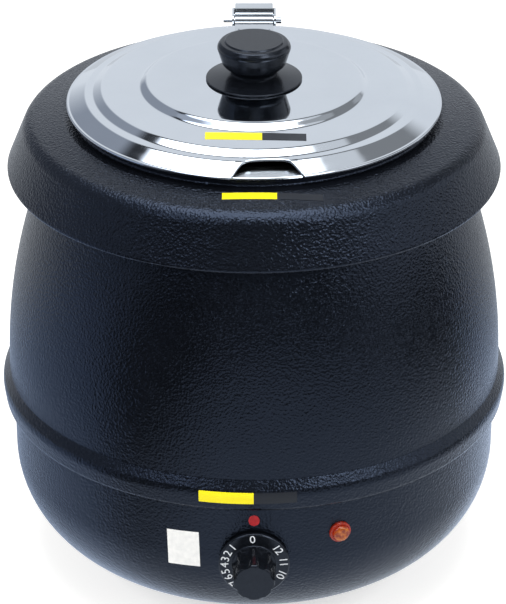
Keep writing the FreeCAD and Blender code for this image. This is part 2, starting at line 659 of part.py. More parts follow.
def make_heater():
    z = PAN_BOTTOM_Z - HEATER_TUBE_R
    centre_x = HEATER_END_X + HEATER_BEND
    reach = HEATER_RING_R + HEATER_BEND
    centre_y = math.sqrt(reach ** 2 - centre_x ** 2)
    out = V(centre_x, centre_y, 0).normalize()
    turn = V(centre_x, centre_y, z)
    enter = V(HEATER_END_X, centre_y, z)
    leave = out * HEATER_RING_R + UP * z
    middle = turn + (V(-1, 0, 0) - out).normalize() * HEATER_BEND

    def mirrored(p):
        return V(-p.x, p.y, p.z)

    end = V(HEATER_END_X, HEATER_END_Y, z)
    path = [Part.LineSegment(end, enter).toShape(), Part.Arc(enter, middle, leave).toShape(),
            Part.Arc(leave, V(0, -HEATER_RING_R, z), mirrored(leave)).toShape(),
            Part.Arc(mirrored(leave), mirrored(middle), mirrored(enter)).toShape(),
            Part.LineSegment(mirrored(enter), mirrored(end)).toShape()]
    section = Part.Wire(Part.makeCircle(HEATER_TUBE_R, end, FRONT))
    element = Part.Wire(path).makePipeShell([section], True, False)
    studs = [rod(HEATER_STUD_R, HEATER_STUD, point, BACK) for point in (end, mirrored(end))]
    nodes["heating_element"] = element.fuse(studs)


def make_heater_plates():
    plate = ring(CLAMP_R, CLAMP_HOLE_R, CLAMP_SHEET, UP * CLAMP_Z)
    gap_x = HEATER_END_X + HEATER_TUBE_R + CLAMP_END_GAP
    gap_y = STUD_CIRCLE + PLAIN_NUT_FLATS
    plate = plate.cut(block(V(-gap_x, gap_y, CLAMP_Z), V(gap_x, CLAMP_R, CLAMP_TOP_Z)))
    holes = [rod(STUD_R + HOLE_FIT, CLAMP_SHEET, spot) for spot in stud_spots(CLAMP_Z)]
    nodes["heater_clamp_plate"] = plate.cut(holes)
    nut_bore = STUD_R + THREAD_FIT
    nodes["heater_nuts"] = Part.makeCompound(
        [hex_nut(PLAIN_NUT_FLATS, nut_bore, PLAIN_NUT, spot) for spot in stud_spots(CLAMP_Z - PLAIN_NUT)])
    nodes["shield_spacers"] = Part.makeCompound(
        [ring(SPACER_R, STUD_R + HOLE_FIT, SPACER, spot) for spot in stud_spots(SHIELD_TOP_Z)])
    shield = ring(SHIELD_R, SHIELD_HOLE_R, SHIELD_SHEET, UP * SHIELD_Z)
    holes = [rod(STUD_R + HOLE_FIT, SHIELD_SHEET, spot) for spot in stud_spots(SHIELD_Z)]
    nodes["heat_shield"] = shield.cut(holes)
    nodes["shield_nuts"] = Part.makeCompound(
        [hex_nut(PLAIN_NUT_FLATS, nut_bore, PLAIN_NUT, spot) for spot in stud_spots(SHIELD_Z - PLAIN_NUT)])


def make_cutout():
    base_z = PAN_BOTTOM_Z - CUTOUT_HEIGHT
    body = rod(CUTOUT_R, CUTOUT_HEIGHT, UP * base_z)
    flange_z = PAN_BOTTOM_Z - CUTOUT_FLANGE_SHEET
    flange = rod(CUTOUT_R + CUTOUT_FLANGE, CUTOUT_FLANGE_SHEET, UP * flange_z)
    half_sheet, half_width = CUTOUT_TAB_SHEET / 2, CUTOUT_TAB_WIDTH / 2
    tabs = [block(V(x - half_sheet, -half_width, base_z - CUTOUT_TAB), V(x + half_sheet, half_width, base_z))
            for x in (-CUTOUT_TAB_X, CUTOUT_TAB_X)]
    nodes["overheat_cutout"] = body.fuse([flange] + tabs)


BUSH_FACE_Y = -bowl_radius(DIAL_Z - BUSH_SHOULDER_R, SHELL_WALL) + REST_CLEARANCE
THERMOSTAT_FRONT_Y = BUSH_FACE_Y + THERMOSTAT_FRONT_GAP
THERMOSTAT_BACK_Y = THERMOSTAT_FRONT_Y + THERMOSTAT[1]
THERMOSTAT_BOTTOM_Z = DIAL_Z - THERMOSTAT[2] / 2
NUT_SEAT_Y = -BOWL_R - THREAD_FIT
SHAFT_END_Y = DIAL_FRONT_Y - SHAFT_IN_KNOB
SHAFT_TAIL_Y = THERMOSTAT_FRONT_Y + SHAFT_IN_BODY


def make_thermostat():
    width, depth, height = THERMOSTAT
    case = block(V(-width / 2, THERMOSTAT_FRONT_Y, THERMOSTAT_BOTTOM_Z),
                 V(width / 2, THERMOSTAT_BACK_Y, THERMOSTAT_BOTTOM_Z + height))
    case = case.makeFillet(THERMOSTAT_ROUND, case.Edges)
    bush_end_y = NUT_SEAT_Y - NUT_THICK - BUSH_BEYOND
    bush = rod(BUSH_R, THERMOSTAT_FRONT_Y - bush_end_y, V(0, bush_end_y, DIAL_Z), BACK)
    shoulder = rod(BUSH_SHOULDER_R, BUSH_SHOULDER, V(0, BUSH_FACE_Y, DIAL_Z), BACK)
    bore_length = SHAFT_TAIL_Y + END_GAP - bush_end_y
    bore = rod(SHAFT_R + SHAFT_RUNNING, bore_length, V(0, bush_end_y, DIAL_Z), BACK)
    nodes["thermostat"] = case.fuse([bush, shoulder]).cut(bore)
    nut_base = V(0, NUT_SEAT_Y, DIAL_Z)
    nodes["thermostat_nut"] = hex_nut(NUT_FLATS, BUSH_R + THREAD_FIT, NUT_THICK, nut_base, FRONT)
    shaft = rod(SHAFT_R, SHAFT_TAIL_Y - SHAFT_END_Y, V(0, SHAFT_END_Y, DIAL_Z), BACK)
    flat = block(V(-SHAFT_R, SHAFT_END_Y, DIAL_Z + SHAFT_FLAT), V(SHAFT_R, DIAL_FRONT_Y, DIAL_Z + SHAFT_R))
    nodes["thermostat_shaft"] = shaft.cut(flat)


def make_sensor():
    z = PAN_BOTTOM_Z - BULB_R
    side_x = THERMOSTAT[0] / 2
    left = V(-BULB_LENGTH / 2, BULB_Y, z)
    bulb = rod(BULB_R, BULB_LENGTH, left, V(1, 0, 0))
    outlet_y = (THERMOSTAT_FRONT_Y + THERMOSTAT_BACK_Y) / 2
    outlet_z = THERMOSTAT_BOTTOM_Z + CAPILLARY_RISE
    far_x = -BULB_LENGTH / 2 - CAPILLARY_LOOP
    route = [(left, 0), (V(far_x, BULB_Y, z), CAPILLARY_BEND),
             (V(far_x, outlet_y, outlet_z), CAPILLARY_BEND), (V(-side_x, outlet_y, outlet_z), 0)]
    nodes["thermostat_sensor"] = bulb.fuse(tube(CAPILLARY_R, route))
    inner = BULB_R + CLIP_FIT
    outer = inner + CLIP_SHEET
    low_x, high_x = -CLIP_WIDTH / 2, CLIP_WIDTH / 2
    strap = rod(outer, CLIP_WIDTH, V(low_x, BULB_Y, z), V(1, 0, 0))
    strap = strap.fuse(block(V(low_x, BULB_Y - outer, z), V(high_x, BULB_Y + outer, PAN_BOTTOM_Z)))
    tab_reach = outer + CLIP_TAB
    tabs = block(V(low_x, BULB_Y - tab_reach, PAN_BOTTOM_Z - CLIP_SHEET),
                 V(high_x, BULB_Y + tab_reach, PAN_BOTTOM_Z))
    hollow = rod(inner, CLIP_WIDTH, V(low_x, BULB_Y, z), V(1, 0, 0))
    hollow = hollow.fuse(block(V(low_x, BULB_Y - inner, z), V(high_x, BULB_Y + inner, PAN_BOTTOM_Z)))
    nodes["sensor_clip"] = strap.fuse(tabs).cut(hollow).common(rod(PAN_R, PAN_BOTTOM_Z, AXIS_POINT))


def make_control_knob():
    """Numbered skirt and fluted grip in one moulding, turned along -Y from the dial's back."""
    pocket_r = NUT_FLATS / math.sqrt(3) + POCKET_SIDE_GAP
    pocket_depth = DIAL_BACK_Y - (NUT_SEAT_Y - NUT_THICK - POCKET_END_GAP)
    top = DIAL_THICK + GRIP_LENGTH
    centre = V(0, DIAL_BACK_Y, DIAL_Z)
    outline = [(0, pocket_depth, 0), (pocket_r, pocket_depth, 0), (pocket_r, 0, 0),
               (DIAL_R - DIAL_BACK_IN, 0, 0), (DIAL_R, DIAL_BACK_EDGE, 0),
               (DIAL_R, DIAL_THICK - DIAL_BACK_EDGE, DIAL_EDGE_ROUND),
               (DIAL_R - DIAL_FACE_IN, DIAL_THICK, DIAL_EDGE_ROUND),
               (GRIP_R + GRIP_FLARE, DIAL_THICK, GRIP_FOOT_ROUND), (GRIP_R, top, GRIP_TOP_ROUND),
               (0, top, 0)]
    knob = turned(outline, centre, FRONT)
    flutes = []
    for i in range(GRIP_FLUTES):
        turn = 90 + 360.0 / GRIP_FLUTES * (i + 0.5)
        spot = on_circle(GRIP_R + GRIP_FLUTE_R - GRIP_FLUTE_DEPTH, turn, 0)
        base = V(spot.x, DIAL_FRONT_Y - GRIP_FLUTE_START, DIAL_Z + spot.y)
        flutes.append(rod(GRIP_FLUTE_R, GRIP_LENGTH, base, FRONT))
    socket_r = SHAFT_R + SHAFT_TIGHT
    socket_end_y = SHAFT_END_Y - END_GAP
    socket = rod(socket_r, DIAL_BACK_Y - socket_end_y, V(0, socket_end_y, DIAL_Z), BACK)
    key = block(V(-socket_r, socket_end_y, DIAL_Z + SHAFT_FLAT + SHAFT_TIGHT),
                V(socket_r, DIAL_FRONT_Y - KEY_START, DIAL_Z + socket_r))
    nodes["control_knob"] = knob.cut(flutes + [socket.cut(key)])


def make_lamp():
    stem_back = -LAMP_STEM
    dome_top = LENS_FLANGE + LENS_DOME
    outline = [(LAMP_BORE_R, stem_back, 0), (LAMP_STEM_R, stem_back, 0), (LAMP_STEM_R, 0, 0),
               (LENS_R, 0, 0), (LENS_R, LENS_FLANGE, LENS_FLANGE_ROUND),
               (LENS_DOME_R + LENS_DOME_FOOT, LENS_FLANGE, LENS_FOOT_ROUND),
               (LENS_DOME_R, dome_top, LENS_DOME_ROUND), (0, dome_top, 0), (0, dome_top - LENS_SKIN, 0),
               (LAMP_BORE_R, -LENS_BORE_END, 0)]
    nodes["pilot_lamp_lens"] = turned(outline, LAMP_FOOT, LAMP_WAY)
    plug_r = LAMP_BORE_R - THREAD_FIT
    plug_end = stem_back + LAMP_PLUG
    glass = [(0, stem_back, 0), (plug_r, stem_back, 0), (plug_r, plug_end, 0), (LAMP_BULB_R, plug_end, 0),
             (LAMP_BULB_R, -LAMP_BULB_END - LAMP_BULB_TIP, 2 * LAMP_BULB_TIP), (0, -LAMP_BULB_END, 0)]
    nodes["pilot_lamp_bulb"] = turned(glass, LAMP_FOOT, LAMP_WAY)
    inside = SHELL_WALL + (LAMP_NUT_R ** 2) / (2 * BOWL_R) + THREAD_FIT
    nut_base = LAMP_FOOT - LAMP_WAY * inside
    nodes["pilot_lamp_nut"] = ring(LAMP_NUT_R, LAMP_STEM_R + THREAD_FIT, LAMP_NUT, nut_base, LAMP_WAY * -1)


def make_gland():
    mouth = V(0, BOWL_R, GLAND_Z)
    step = GLAND_COLLAR + GLAND_STEP
    outline = [(GLAND_BORE_R, -GLAND_IN, 0), (GLAND_STEM_R, -GLAND_IN, 0), (GLAND_STEM_R, GLAND_LIFT, 0),
               (GLAND_R, GLAND_LIFT, 0), (GLAND_R, GLAND_COLLAR, GLAND_COLLAR_ROUND),
               (GLAND_R - GLAND_STEP_IN, step, GLAND_STEP_ROUND),
               (GLAND_R - GLAND_NOSE_IN, GLAND_OUT, GLAND_NOSE_ROUND), (GLAND_BORE_R, GLAND_OUT, 0)]
    nodes["cord_gland"] = turned(outline, mouth, BACK)
    inside = SHELL_WALL + (GLAND_NUT_FLATS / math.sqrt(3)) ** 2 / (2 * BOWL_R) + THREAD_FIT
    nodes["cord_gland_nut"] = hex_nut(GLAND_NUT_FLATS, GLAND_STEM_R + THREAD_FIT, GLAND_NUT,
                                      V(0, BOWL_R - inside, GLAND_Z), FRONT)


def make_terminals():
    width, depth, height = BLOCK
    base_z = BOWL_BOTTOM_Z
    top_z = base_z + height
    back_y, front_y = BLOCK_Y + depth / 2, BLOCK_Y - depth / 2
    body = block(V(-width / 2, front_y, base_z), V(width / 2, back_y, top_z))
    cuts = []
    for i in range(BLOCK_WAYS):
        x = BLOCK_PITCH * (i - (BLOCK_WAYS - 1) / 2)
        cuts.append(rod(BLOCK_WELL_R, BLOCK_WELL, V(x, BLOCK_Y, top_z - BLOCK_WELL)))
    for i in range(BLOCK_WAYS - 1):
        x = BLOCK_PITCH * (i - (BLOCK_WAYS - 2) / 2)
        cuts.append(block(V(x - BLOCK_SLOT / 2, front_y, top_z - BLOCK_SLOT_DEPTH),
                          V(x + BLOCK_SLOT / 2, back_y, top_z)))
    screws = []
    for x in (-BLOCK_SCREW_X, BLOCK_SCREW_X):
        cuts.append(rod(BLOCK_SCREW_R + HOLE_FIT, height, V(x, BLOCK_Y, base_z)))
        shank = rod(BLOCK_SCREW_R, height + BASE_SHEET, V(x, BLOCK_Y, BASE_Z))
        screws.append(shank.fuse(rod(2 * BLOCK_SCREW_R, BLOCK_SCREW_HEAD, V(x, BLOCK_Y, top_z))))
    nodes["terminal_block"] = body.cut(cuts)
    nodes["terminal_screws"] = Part.makeCompound(screws)
    shank = rod(EARTH_R, BASE_SHEET + EARTH_STUD, V(EARTH_X, EARTH_Y, BASE_Z))
    collar = rod(2 * EARTH_R, EARTH_COLLAR, V(EARTH_X, EARTH_Y, base_z))
    nodes["earth_stud"] = shank.fuse(collar)


def make_leads():
    """Leads as round bars through the free space under the pan, end to end with what they join."""
    half_width, half_depth = BLOCK[0] / 2, BLOCK[1] / 2
    mid_y = (THERMOSTAT_FRONT_Y + THERMOSTAT_BACK_Y) / 2
    tab_z = PAN_BOTTOM_Z - CUTOUT_HEIGHT - CUTOUT_TAB
    end_y = HEATER_END_Y + HEATER_STUD
    heater_z = PAN_BOTTOM_Z - HEATER_TUBE_R
    outer_y = end_y + LEAD_OUT
    turn_y = -(BOWL_R - BOWL_CORNER + LEAD_FRONT_OUT)
    low = LEAD_Z
    over = low + 4 * LEAD_R
    rise = low + LEAD_HEATER_RISE
    front_z = low + LEAD_FRONT_RISE
    lamp_z = DIAL_Z + LEAD_LAMP_RISE
    way_x = BLOCK_PITCH
    earth_z = BOWL_BOTTOM_Z + LEAD_R + REST_CLEARANCE
    lamp_end = LAMP_FOOT - LAMP_WAY * LAMP_STEM
    lamp_turn = lamp_end - LAMP_WAY * LEAD_STRAIGHT
    apart = UP * LEAD_APART
    left, right = -HEATER_END_X, HEATER_END_X
    side_r = PAN_R + LEAD_PAN_GAP
    beside_x = -half_width - LEAD_STRAIGHT
    routes = {
        "live_lead": [V(-way_x, BLOCK_Y - half_depth, low), V(-way_x, turn_y, low),
                      V(-LEAD_SIDE, mid_y, front_z), V(-LEAD_SIDE, mid_y, THERMOSTAT_BOTTOM_Z)],
        "switched_lead": [V(LEAD_SIDE, mid_y, THERMOSTAT_BOTTOM_Z), V(LEAD_SIDE, mid_y, front_z),
                          V(LEAD_SIDE, turn_y, low), V(CUTOUT_TAB_X, 0, low), V(CUTOUT_TAB_X, 0, tab_z)],
        "heater_lead": [V(-CUTOUT_TAB_X, 0, tab_z), V(-CUTOUT_TAB_X, 0, over),
                        V(left - way_x, BLOCK_Y - 2 * half_depth, over),
                        V(left - way_x, outer_y - way_x, over),
                        V(left, outer_y, rise), V(left, outer_y, heater_z), V(left, end_y, heater_z)],
        "neutral_lead": [V(way_x, BLOCK_Y + half_depth, low), V(way_x, outer_y - way_x, low),
                         V(right, outer_y, rise), V(right, outer_y, heater_z), V(right, end_y, heater_z)],
        "lamp_lead": [lamp_end - apart, lamp_turn - apart, V(THERMOSTAT[0], mid_y, lamp_z),
                      V(THERMOSTAT[0] / 2, mid_y, lamp_z)],
        "lamp_return_lead": [lamp_end + apart, lamp_turn + apart, on_circle(side_r, -50, lamp_z),
                             on_circle(side_r, -30, PAN_BOTTOM_Z - LEAD_RISE), on_circle(SHIELD_R, -5, low),
                             V(2 * half_width, BLOCK_Y, low), V(half_width, BLOCK_Y, low)],
        "earth_lead": [V(EARTH_X + 2 * EARTH_R, EARTH_Y, earth_z), V(beside_x, EARTH_Y, earth_z),
                       V(beside_x, BLOCK_Y, earth_z), V(-half_width, BLOCK_Y, earth_z)],
    }
    for name, points in routes.items():
        corners = [(point, LEAD_BEND) for point in points]
        corners[0] = (points[0], 0)
        corners[-1] = (points[-1], 0)
        nodes[name] = tube(LEAD_R, corners)


def make_pot():
    bottom_z = PAN_BOTTOM_Z + PAN_WALL + WATER_GAP
    mouth_z = FLANGE_Z + (NECK_R - POT_R) * LIP_FALL
    profile = [(0, bottom_z, 0), (POT_R, bottom_z, POT_CORNER), (POT_R, mouth_z, POT_BEND),
               (POT_FLANGE_R, FLANGE_EDGE_Z, 0)]
    nodes["inset"] = turned_sheet(profile, POT_WALL)


BRACKET_SCREW_Y = PIN_Y + WEB_GAP + HINGE_SHEET + BRACKET_SCREW_BACK
BRACKET_SLOPE = math.atan2(SHOULDER_DROP, SHOULDER_R - LAND_R)
BRACKET_DOWN = V(0, math.cos(BRACKET_SLOPE), -math.sin(BRACKET_SLOPE))
BRACKET_NORMAL = V(0, math.sin(BRACKET_SLOPE), math.cos(BRACKET_SLOPE))


def bracket_screw_spots(lift):
    seat = V(0, BRACKET_SCREW_Y, collar_top(BRACKET_SCREW_Y)) + BRACKET_NORMAL * lift
    return [seat + V(x, 0, 0) for x in (-BRACKET_SCREW_X, BRACKET_SCREW_X)]


def make_collar():
    profile = [(SKIRT_R - SKIRT_HEM, SKIRT_Z, 0), (SKIRT_R, SKIRT_Z, SKIRT_ROUND),
               (SHOULDER_R, LAND_Z - SHOULDER_DROP, SHOULDER_ROUND), (LAND_R, LAND_Z, LAND_ROUND),
               (NECK_R, LAND_Z, NECK_ROUND), (NECK_R, LIP_Z, NECK_ROUND),
               (MOUTH_R, LIP_Z + (NECK_R - MOUTH_R) * LIP_FALL, 0)]
    collar = turned_sheet(profile, COLLAR_WALL)
    holes = [rod(BRACKET_SCREW_R + HOLE_FIT, 3 * COLLAR_WALL, spot, BRACKET_NORMAL * -1)
             for spot in bracket_screw_spots(COLLAR_WALL)]
    nodes["collar"] = collar.cut(holes)


def side_plate(outline, low_x, high_x):
    """A flat-sided piece between two x, from the (y, z) corners of its side."""
    corners = [V(low_x, y, z) for y, z in outline + outline[:1]]
    return Part.Face(Part.makePolygon(corners)).extrude(V(high_x - low_x, 0, 0))


def make_bracket():
    """Hinge bracket: web leaning back behind the pin, two ears, a flange on top and a sloping foot."""
    sheet = HINGE_SHEET
    half = EAR_GAP / 2 + sheet
    web_y = PIN_Y + WEB_GAP
    top_y = web_y + WEB_LEAN
    top_z = PIN_Z + WEB_ABOVE_PIN
    foot_z = collar_top(web_y) + sheet / 2
    web = side_plate([(web_y, foot_z), (top_y, top_z), (top_y + sheet, top_z), (web_y + sheet, foot_z)],
                     -half, half)
    end_y = top_y + FLANGE_BACK
    end_z = top_z + FLANGE_UP
    foot_half = LEAF_WIDTH / 2
    flange = side_plate([(top_y, top_z - sheet), (end_y, end_z - sheet), (end_y, end_z), (top_y, top_z)],
                        -foot_half, foot_half)
    start = V(0, web_y, collar_top(web_y) + SEAT_FIT)
    corner = [start, start + BRACKET_DOWN * (BRACKET_FOOT + sheet)]
    corner += [point + BRACKET_NORMAL * sheet for point in reversed(corner)]
    foot = side_plate([(point.y, point.z) for point in corner], -foot_half, foot_half)
    pieces = [flange, foot]
    front_y = PIN_Y - EAR_R
    ear = [(front_y, LAND_Z + EAR_FOOT_GAP), (front_y, PIN_Z), (PIN_Y, PIN_Z + EAR_R),
           (top_y - EAR_SHOULDER, top_z), (top_y + sheet, top_z), (web_y + sheet, foot_z)]
    for x in (-half, EAR_GAP / 2):
        pieces.append(side_plate(ear, x, x + sheet))
        pieces.append(rod(EAR_R, sheet, V(x, PIN_Y, PIN_Z), V(1, 0, 0)))
    bracket = web.fuse(pieces)
    cuts = [rod(PIN_R + PIN_RUNNING, 2 * half, V(-half, PIN_Y, PIN_Z), V(1, 0, 0))]
    cuts += [rod(BRACKET_SCREW_R + HOLE_FIT, 3 * HINGE_SHEET, spot, BRACKET_NORMAL)
             for spot in bracket_screw_spots(-HINGE_SHEET)]
    nodes["hinge_bracket"] = bracket.cut(cuts).removeSplitter()
    screws = []
    nuts = []
    head_lift = HINGE_SHEET + SEAT_FIT
    nut_drop = COLLAR_WALL + BRACKET_NUT_GAP
    for top, under in zip(bracket_screw_spots(head_lift), bracket_screw_spots(-nut_drop)):
        shank_length = head_lift + nut_drop + BRACKET_NUT + SCREW_TAIL
        shank = rod(BRACKET_SCREW_R, shank_length, top, BRACKET_NORMAL * -1)
        screws.append(shank.fuse(rod(BRACKET_HEAD_R, BRACKET_HEAD, top, BRACKET_NORMAL)))
        bore = BRACKET_SCREW_R + THREAD_FIT
        nuts.append(hex_nut(BRACKET_NUT_FLATS, bore, BRACKET_NUT, under, BRACKET_NORMAL * -1))
    nodes["bracket_screws"] = Part.makeCompound(screws)
    nodes["bracket_nuts"] = Part.makeCompound(nuts)


LEAF_Y = STEP_1_IN_R - LEAF_INSIDE
LEAF_RIVET_Y = LEAF_Y - LEAF_LENGTH / 2


def ring_height(r):
    """Height of the lid's middle ring at a radius."""
    share = (STEP_1_IN_R - r) / (STEP_1_IN_R - STEP_2_OUT_R)
    return RING_Z + PLATEAU_RISE * share


def make_leaf():
    """Strap from the lid's middle ring, down over the ledge and brim, to an eye rolled up round the pin."""
    eye_r = PIN_R + PIN_TIGHT + HINGE_SHEET
    seat_z = ring_height(LEAF_Y - LEAF_LENGTH) + LEAF_LIFT
    lower = [(V(0, LEAF_Y - LEAF_LENGTH, seat_z), 0), (V(0, LEAF_Y, seat_z), LEAF_BEND),
             (V(0, SLOPE_IN_R, LEDGE_Z + LEAF_OVER), LEAF_BEND), (V(0, LID_R, BRIM_Z + LEAF_OVER), LEAF_BEND),
             (V(0, PIN_Y, PIN_Z - eye_r), 0)]
    upper = [(point + UP * HINGE_SHEET, radius) for point, radius in lower]
    edges = edges_through(lower) + edges_through(upper)
    edges += [Part.LineSegment(lower[i][0], upper[i][0]).toShape() for i in (0, -1)]
    strap = Part.Face(Part.Wire(Part.__sortEdges__(edges))).extrude(V(LEAF_WIDTH, 0, 0))
    strap.translate(V(-LEAF_WIDTH / 2, 0, 0))
    left = V(-LEAF_WIDTH / 2, PIN_Y, PIN_Z)
    eye = rod(eye_r, LEAF_WIDTH, left, V(1, 0, 0))
    bore = rod(PIN_R + PIN_TIGHT, LEAF_WIDTH, left, V(1, 0, 0))
    holes = [rod(RIVET_R + THREAD_FIT, 3 * HINGE_SHEET, V(x, LEAF_RIVET_Y, seat_z - HINGE_SHEET))
             for x in (-LEAF_RIVET_X, LEAF_RIVET_X)]
    nodes["hinge_leaf"] = strap.fuse(eye).cut([bore] + holes).removeSplitter()
    ear_x = EAR_GAP / 2 + HINGE_SHEET
    pin_left, pin_right = -ear_x - PIN_LEFT_END, ear_x + PIN_HEAD_GAP
    pin = rod(PIN_R, pin_right - pin_left, V(pin_left, PIN_Y, PIN_Z), V(1, 0, 0))
    head = rod(PIN_HEAD_R, PIN_HEAD, V(pin_right, PIN_Y, PIN_Z), V(1, 0, 0))
    nodes["hinge_pin"] = pin.fuse(head)
    rivets = []
    lid_under_z = ring_height(LEAF_RIVET_Y) - LID_WALL - LEAF_RIVET_SEAT
    for x in (-LEAF_RIVET_X, LEAF_RIVET_X):
        foot = V(x, LEAF_RIVET_Y, lid_under_z)
        top_z = seat_z + HINGE_SHEET
        shank = rod(RIVET_R, top_z - lid_under_z, foot)
        head = rod(LEAF_RIVET_HEAD_R, RIVET_HEAD, V(x, LEAF_RIVET_Y, top_z))
        tail = rod(RIVET_HEAD_R, RIVET_HEAD, foot - UP * RIVET_HEAD)
        rivets.append(shank.fuse([head, tail]))
    nodes["leaf_rivets"] = Part.makeCompound(rivets)


def make_lid():
    profile = [(LID_R, BRIM_Z - LID_EDGE, 0), (LID_R, BRIM_Z, LID_EDGE_ROUND),
               (SLOPE_OUT_R, BRIM_Z, LID_BRIM_ROUND),
               (SLOPE_IN_R, LEDGE_Z, STEP_ROUND), (STEP_1_OUT_R, LEDGE_Z + PLATEAU_RISE, STEP_ROUND),
               (STEP_1_IN_R, RING_Z, STEP_ROUND), (STEP_2_OUT_R, RING_Z + PLATEAU_RISE, STEP_ROUND),
               (STEP_2_IN_R, LID_TOP_Z, STEP_ROUND), (0, LID_TOP_Z, 0)]
    lid = turned_sheet(profile, LID_WALL)
    deep = 2 * (LID_TOP_Z - BRIM_Z)
    out_y = -(LID_R + NOTCH_BEYOND)
    in_x = NOTCH_IN_WIDTH / 2
    spread = (NOTCH_OUT_WIDTH - NOTCH_IN_WIDTH) / 2
    out_x = in_x + spread * (NOTCH_DEPTH + NOTCH_BEYOND) / NOTCH_DEPTH
    z = BRIM_Z - deep / 2
    outline = limited([(V(-out_x, out_y, z), 0), (V(-in_x, -NOTCH_IN_R, z), NOTCH_ROUND),
                       (V(in_x, -NOTCH_IN_R, z), NOTCH_ROUND), (V(out_x, out_y, z), 0)])
    edges = edges_through(outline) + [Part.LineSegment(outline[0][0], outline[-1][0]).toShape()]
    notch = Part.Face(Part.Wire(Part.__sortEdges__(edges))).extrude(UP * deep * 2)
    notch.rotate(AXIS_POINT, UP, NOTCH_TURN)
    holes = [rod(KNOB_SCREW_R + HOLE_FIT, 4 * LID_WALL, UP * (LID_TOP_Z - 2 * LID_WALL))]
    holes += [rod(RIVET_R + THREAD_FIT, 6 * LID_WALL, V(x, LEAF_RIVET_Y, RING_Z - 3 * LID_WALL))
              for x in (-LEAF_RIVET_X, LEAF_RIVET_X)]
    nodes["lid"] = lid.cut([notch] + holes)


def make_lid_knob():
    base = LID_TOP_Z
    hub_z = base + GUARD_RISE
    hole_r = KNOB_SCREW_R + HOLE_FIT
    edge_z = base + GUARD_LIFT
    guard = [(hole_r, base, 0), (GUARD_HUB_R, base, 0), (GUARD_HUB_R, hub_z - GUARD_WALL, GUARD_WALL / 2),
             (GUARD_R, edge_z, GUARD_EDGE / 2), (GUARD_R, edge_z + GUARD_EDGE, GUARD_EDGE / 2),
             (KNOB_NECK_R + GUARD_BEYOND, hub_z, GUARD_WALL), (hole_r, hub_z, 0)]
    nodes["knob_guard"] = turned(guard)
    top_z = hub_z + KNOB_HEIGHT
    bore_r = KNOB_SCREW_R + THREAD_FIT
    bore_z = hub_z + KNOB_SCREW_DEPTH + END_GAP
    knob = [(bore_r, hub_z, 0), (KNOB_NECK_R, hub_z, 0),
            (KNOB_NECK_R - KNOB_NECK_IN, hub_z + KNOB_NECK_RISE, KNOB_NECK_ROUND),
            (KNOB_BELLY_R, hub_z + KNOB_BELLY_RISE, KNOB_BELLY_ROUND),
            (KNOB_R, hub_z + KNOB_WIDE_RISE, KNOB_WIDE_ROUND),
            (KNOB_SHOULDER_R, top_z - KNOB_SHOULDER_DROP, KNOB_SHOULDER_ROUND),
            (KNOB_CAP_R + KNOB_CAP_EDGE, top_z - KNOB_CAP_RISE, KNOB_CAP_FILLET),
            (KNOB_CAP_R, top_z, KNOB_CAP_EDGE), (0, top_z, 0), (0, bore_z, 0), (bore_r, bore_z, 0)]
    nodes["lid_knob"] = turned(knob)
    washer_z = base - LID_WALL - WASHER
    nodes["knob_washer"] = ring(WASHER_R, hole_r, WASHER, UP * washer_z)
    shank = rod(KNOB_SCREW_R, hub_z + KNOB_SCREW_DEPTH - washer_z, UP * washer_z)
    head = rod(KNOB_SCREW_HEAD_R, KNOB_SCREW_HEAD, UP * (washer_z - KNOB_SCREW_HEAD))
    nodes["knob_screw"] = shank.fuse(head)


def main():
    os.makedirs("parts", exist_ok=True)
    floor_holes = make_feet() + make_base_screws()
    make_bowl(floor_holes)
    make_base_plate(floor_holes)
    make_barrel()
    make_pan()
    make_heater()
    make_heater_plates()
    make_cutout()
    make_thermostat()
    make_sensor()
    make_control_knob()
    make_lamp()
    make_gland()
    make_terminals()
    make_leads()
    make_pot()
    make_collar()
    make_bracket()
    make_leaf()
    make_lid()
    make_lid_knob()
    for name, shape in nodes.items():
        shape.exportStep("parts/" + name + ".step")
        print(name, len(shape.Solids), shape.isValid(), round(shape.Volume))


main()
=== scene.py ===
import json
import math

import bmesh
import bpy
import numpy as np
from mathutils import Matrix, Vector


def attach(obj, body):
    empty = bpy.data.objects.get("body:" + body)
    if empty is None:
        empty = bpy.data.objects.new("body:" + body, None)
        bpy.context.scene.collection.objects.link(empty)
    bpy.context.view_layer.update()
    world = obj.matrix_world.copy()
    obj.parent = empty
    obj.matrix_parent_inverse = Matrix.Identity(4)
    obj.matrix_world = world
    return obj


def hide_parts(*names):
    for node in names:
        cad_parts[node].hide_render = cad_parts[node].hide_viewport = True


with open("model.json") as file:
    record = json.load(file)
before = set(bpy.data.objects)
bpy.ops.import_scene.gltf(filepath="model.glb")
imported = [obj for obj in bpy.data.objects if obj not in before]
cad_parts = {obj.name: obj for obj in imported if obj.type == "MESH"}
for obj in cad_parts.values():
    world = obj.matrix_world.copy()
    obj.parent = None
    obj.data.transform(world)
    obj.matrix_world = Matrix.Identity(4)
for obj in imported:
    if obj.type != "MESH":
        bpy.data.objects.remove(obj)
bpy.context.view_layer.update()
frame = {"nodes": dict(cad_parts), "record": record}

# Countertop soup kettle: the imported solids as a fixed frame, dressed with smooth spun surfaces
# and procedural finishes. Sizes below are in millimetres and are set into the meshes in metres.
MM = 0.001
UP = np.array([0.0, 0.0, 1.0])
TURNS = 320                        # points round a spun surface
ARC_STEP, ARC_RUN = 6.0, 4.0       # widest gap between points of a rounded corner, degrees and millimetres
SHARP_ANGLE = math.radians(40)     # an edge that turns more than this is shaded sharp
MERGE = 1e-7                       # metres, points closer than this are one
SOFT = {"interpolation_type": "SMOOTHSTEP"}   # setting of a range that starts and ends softly

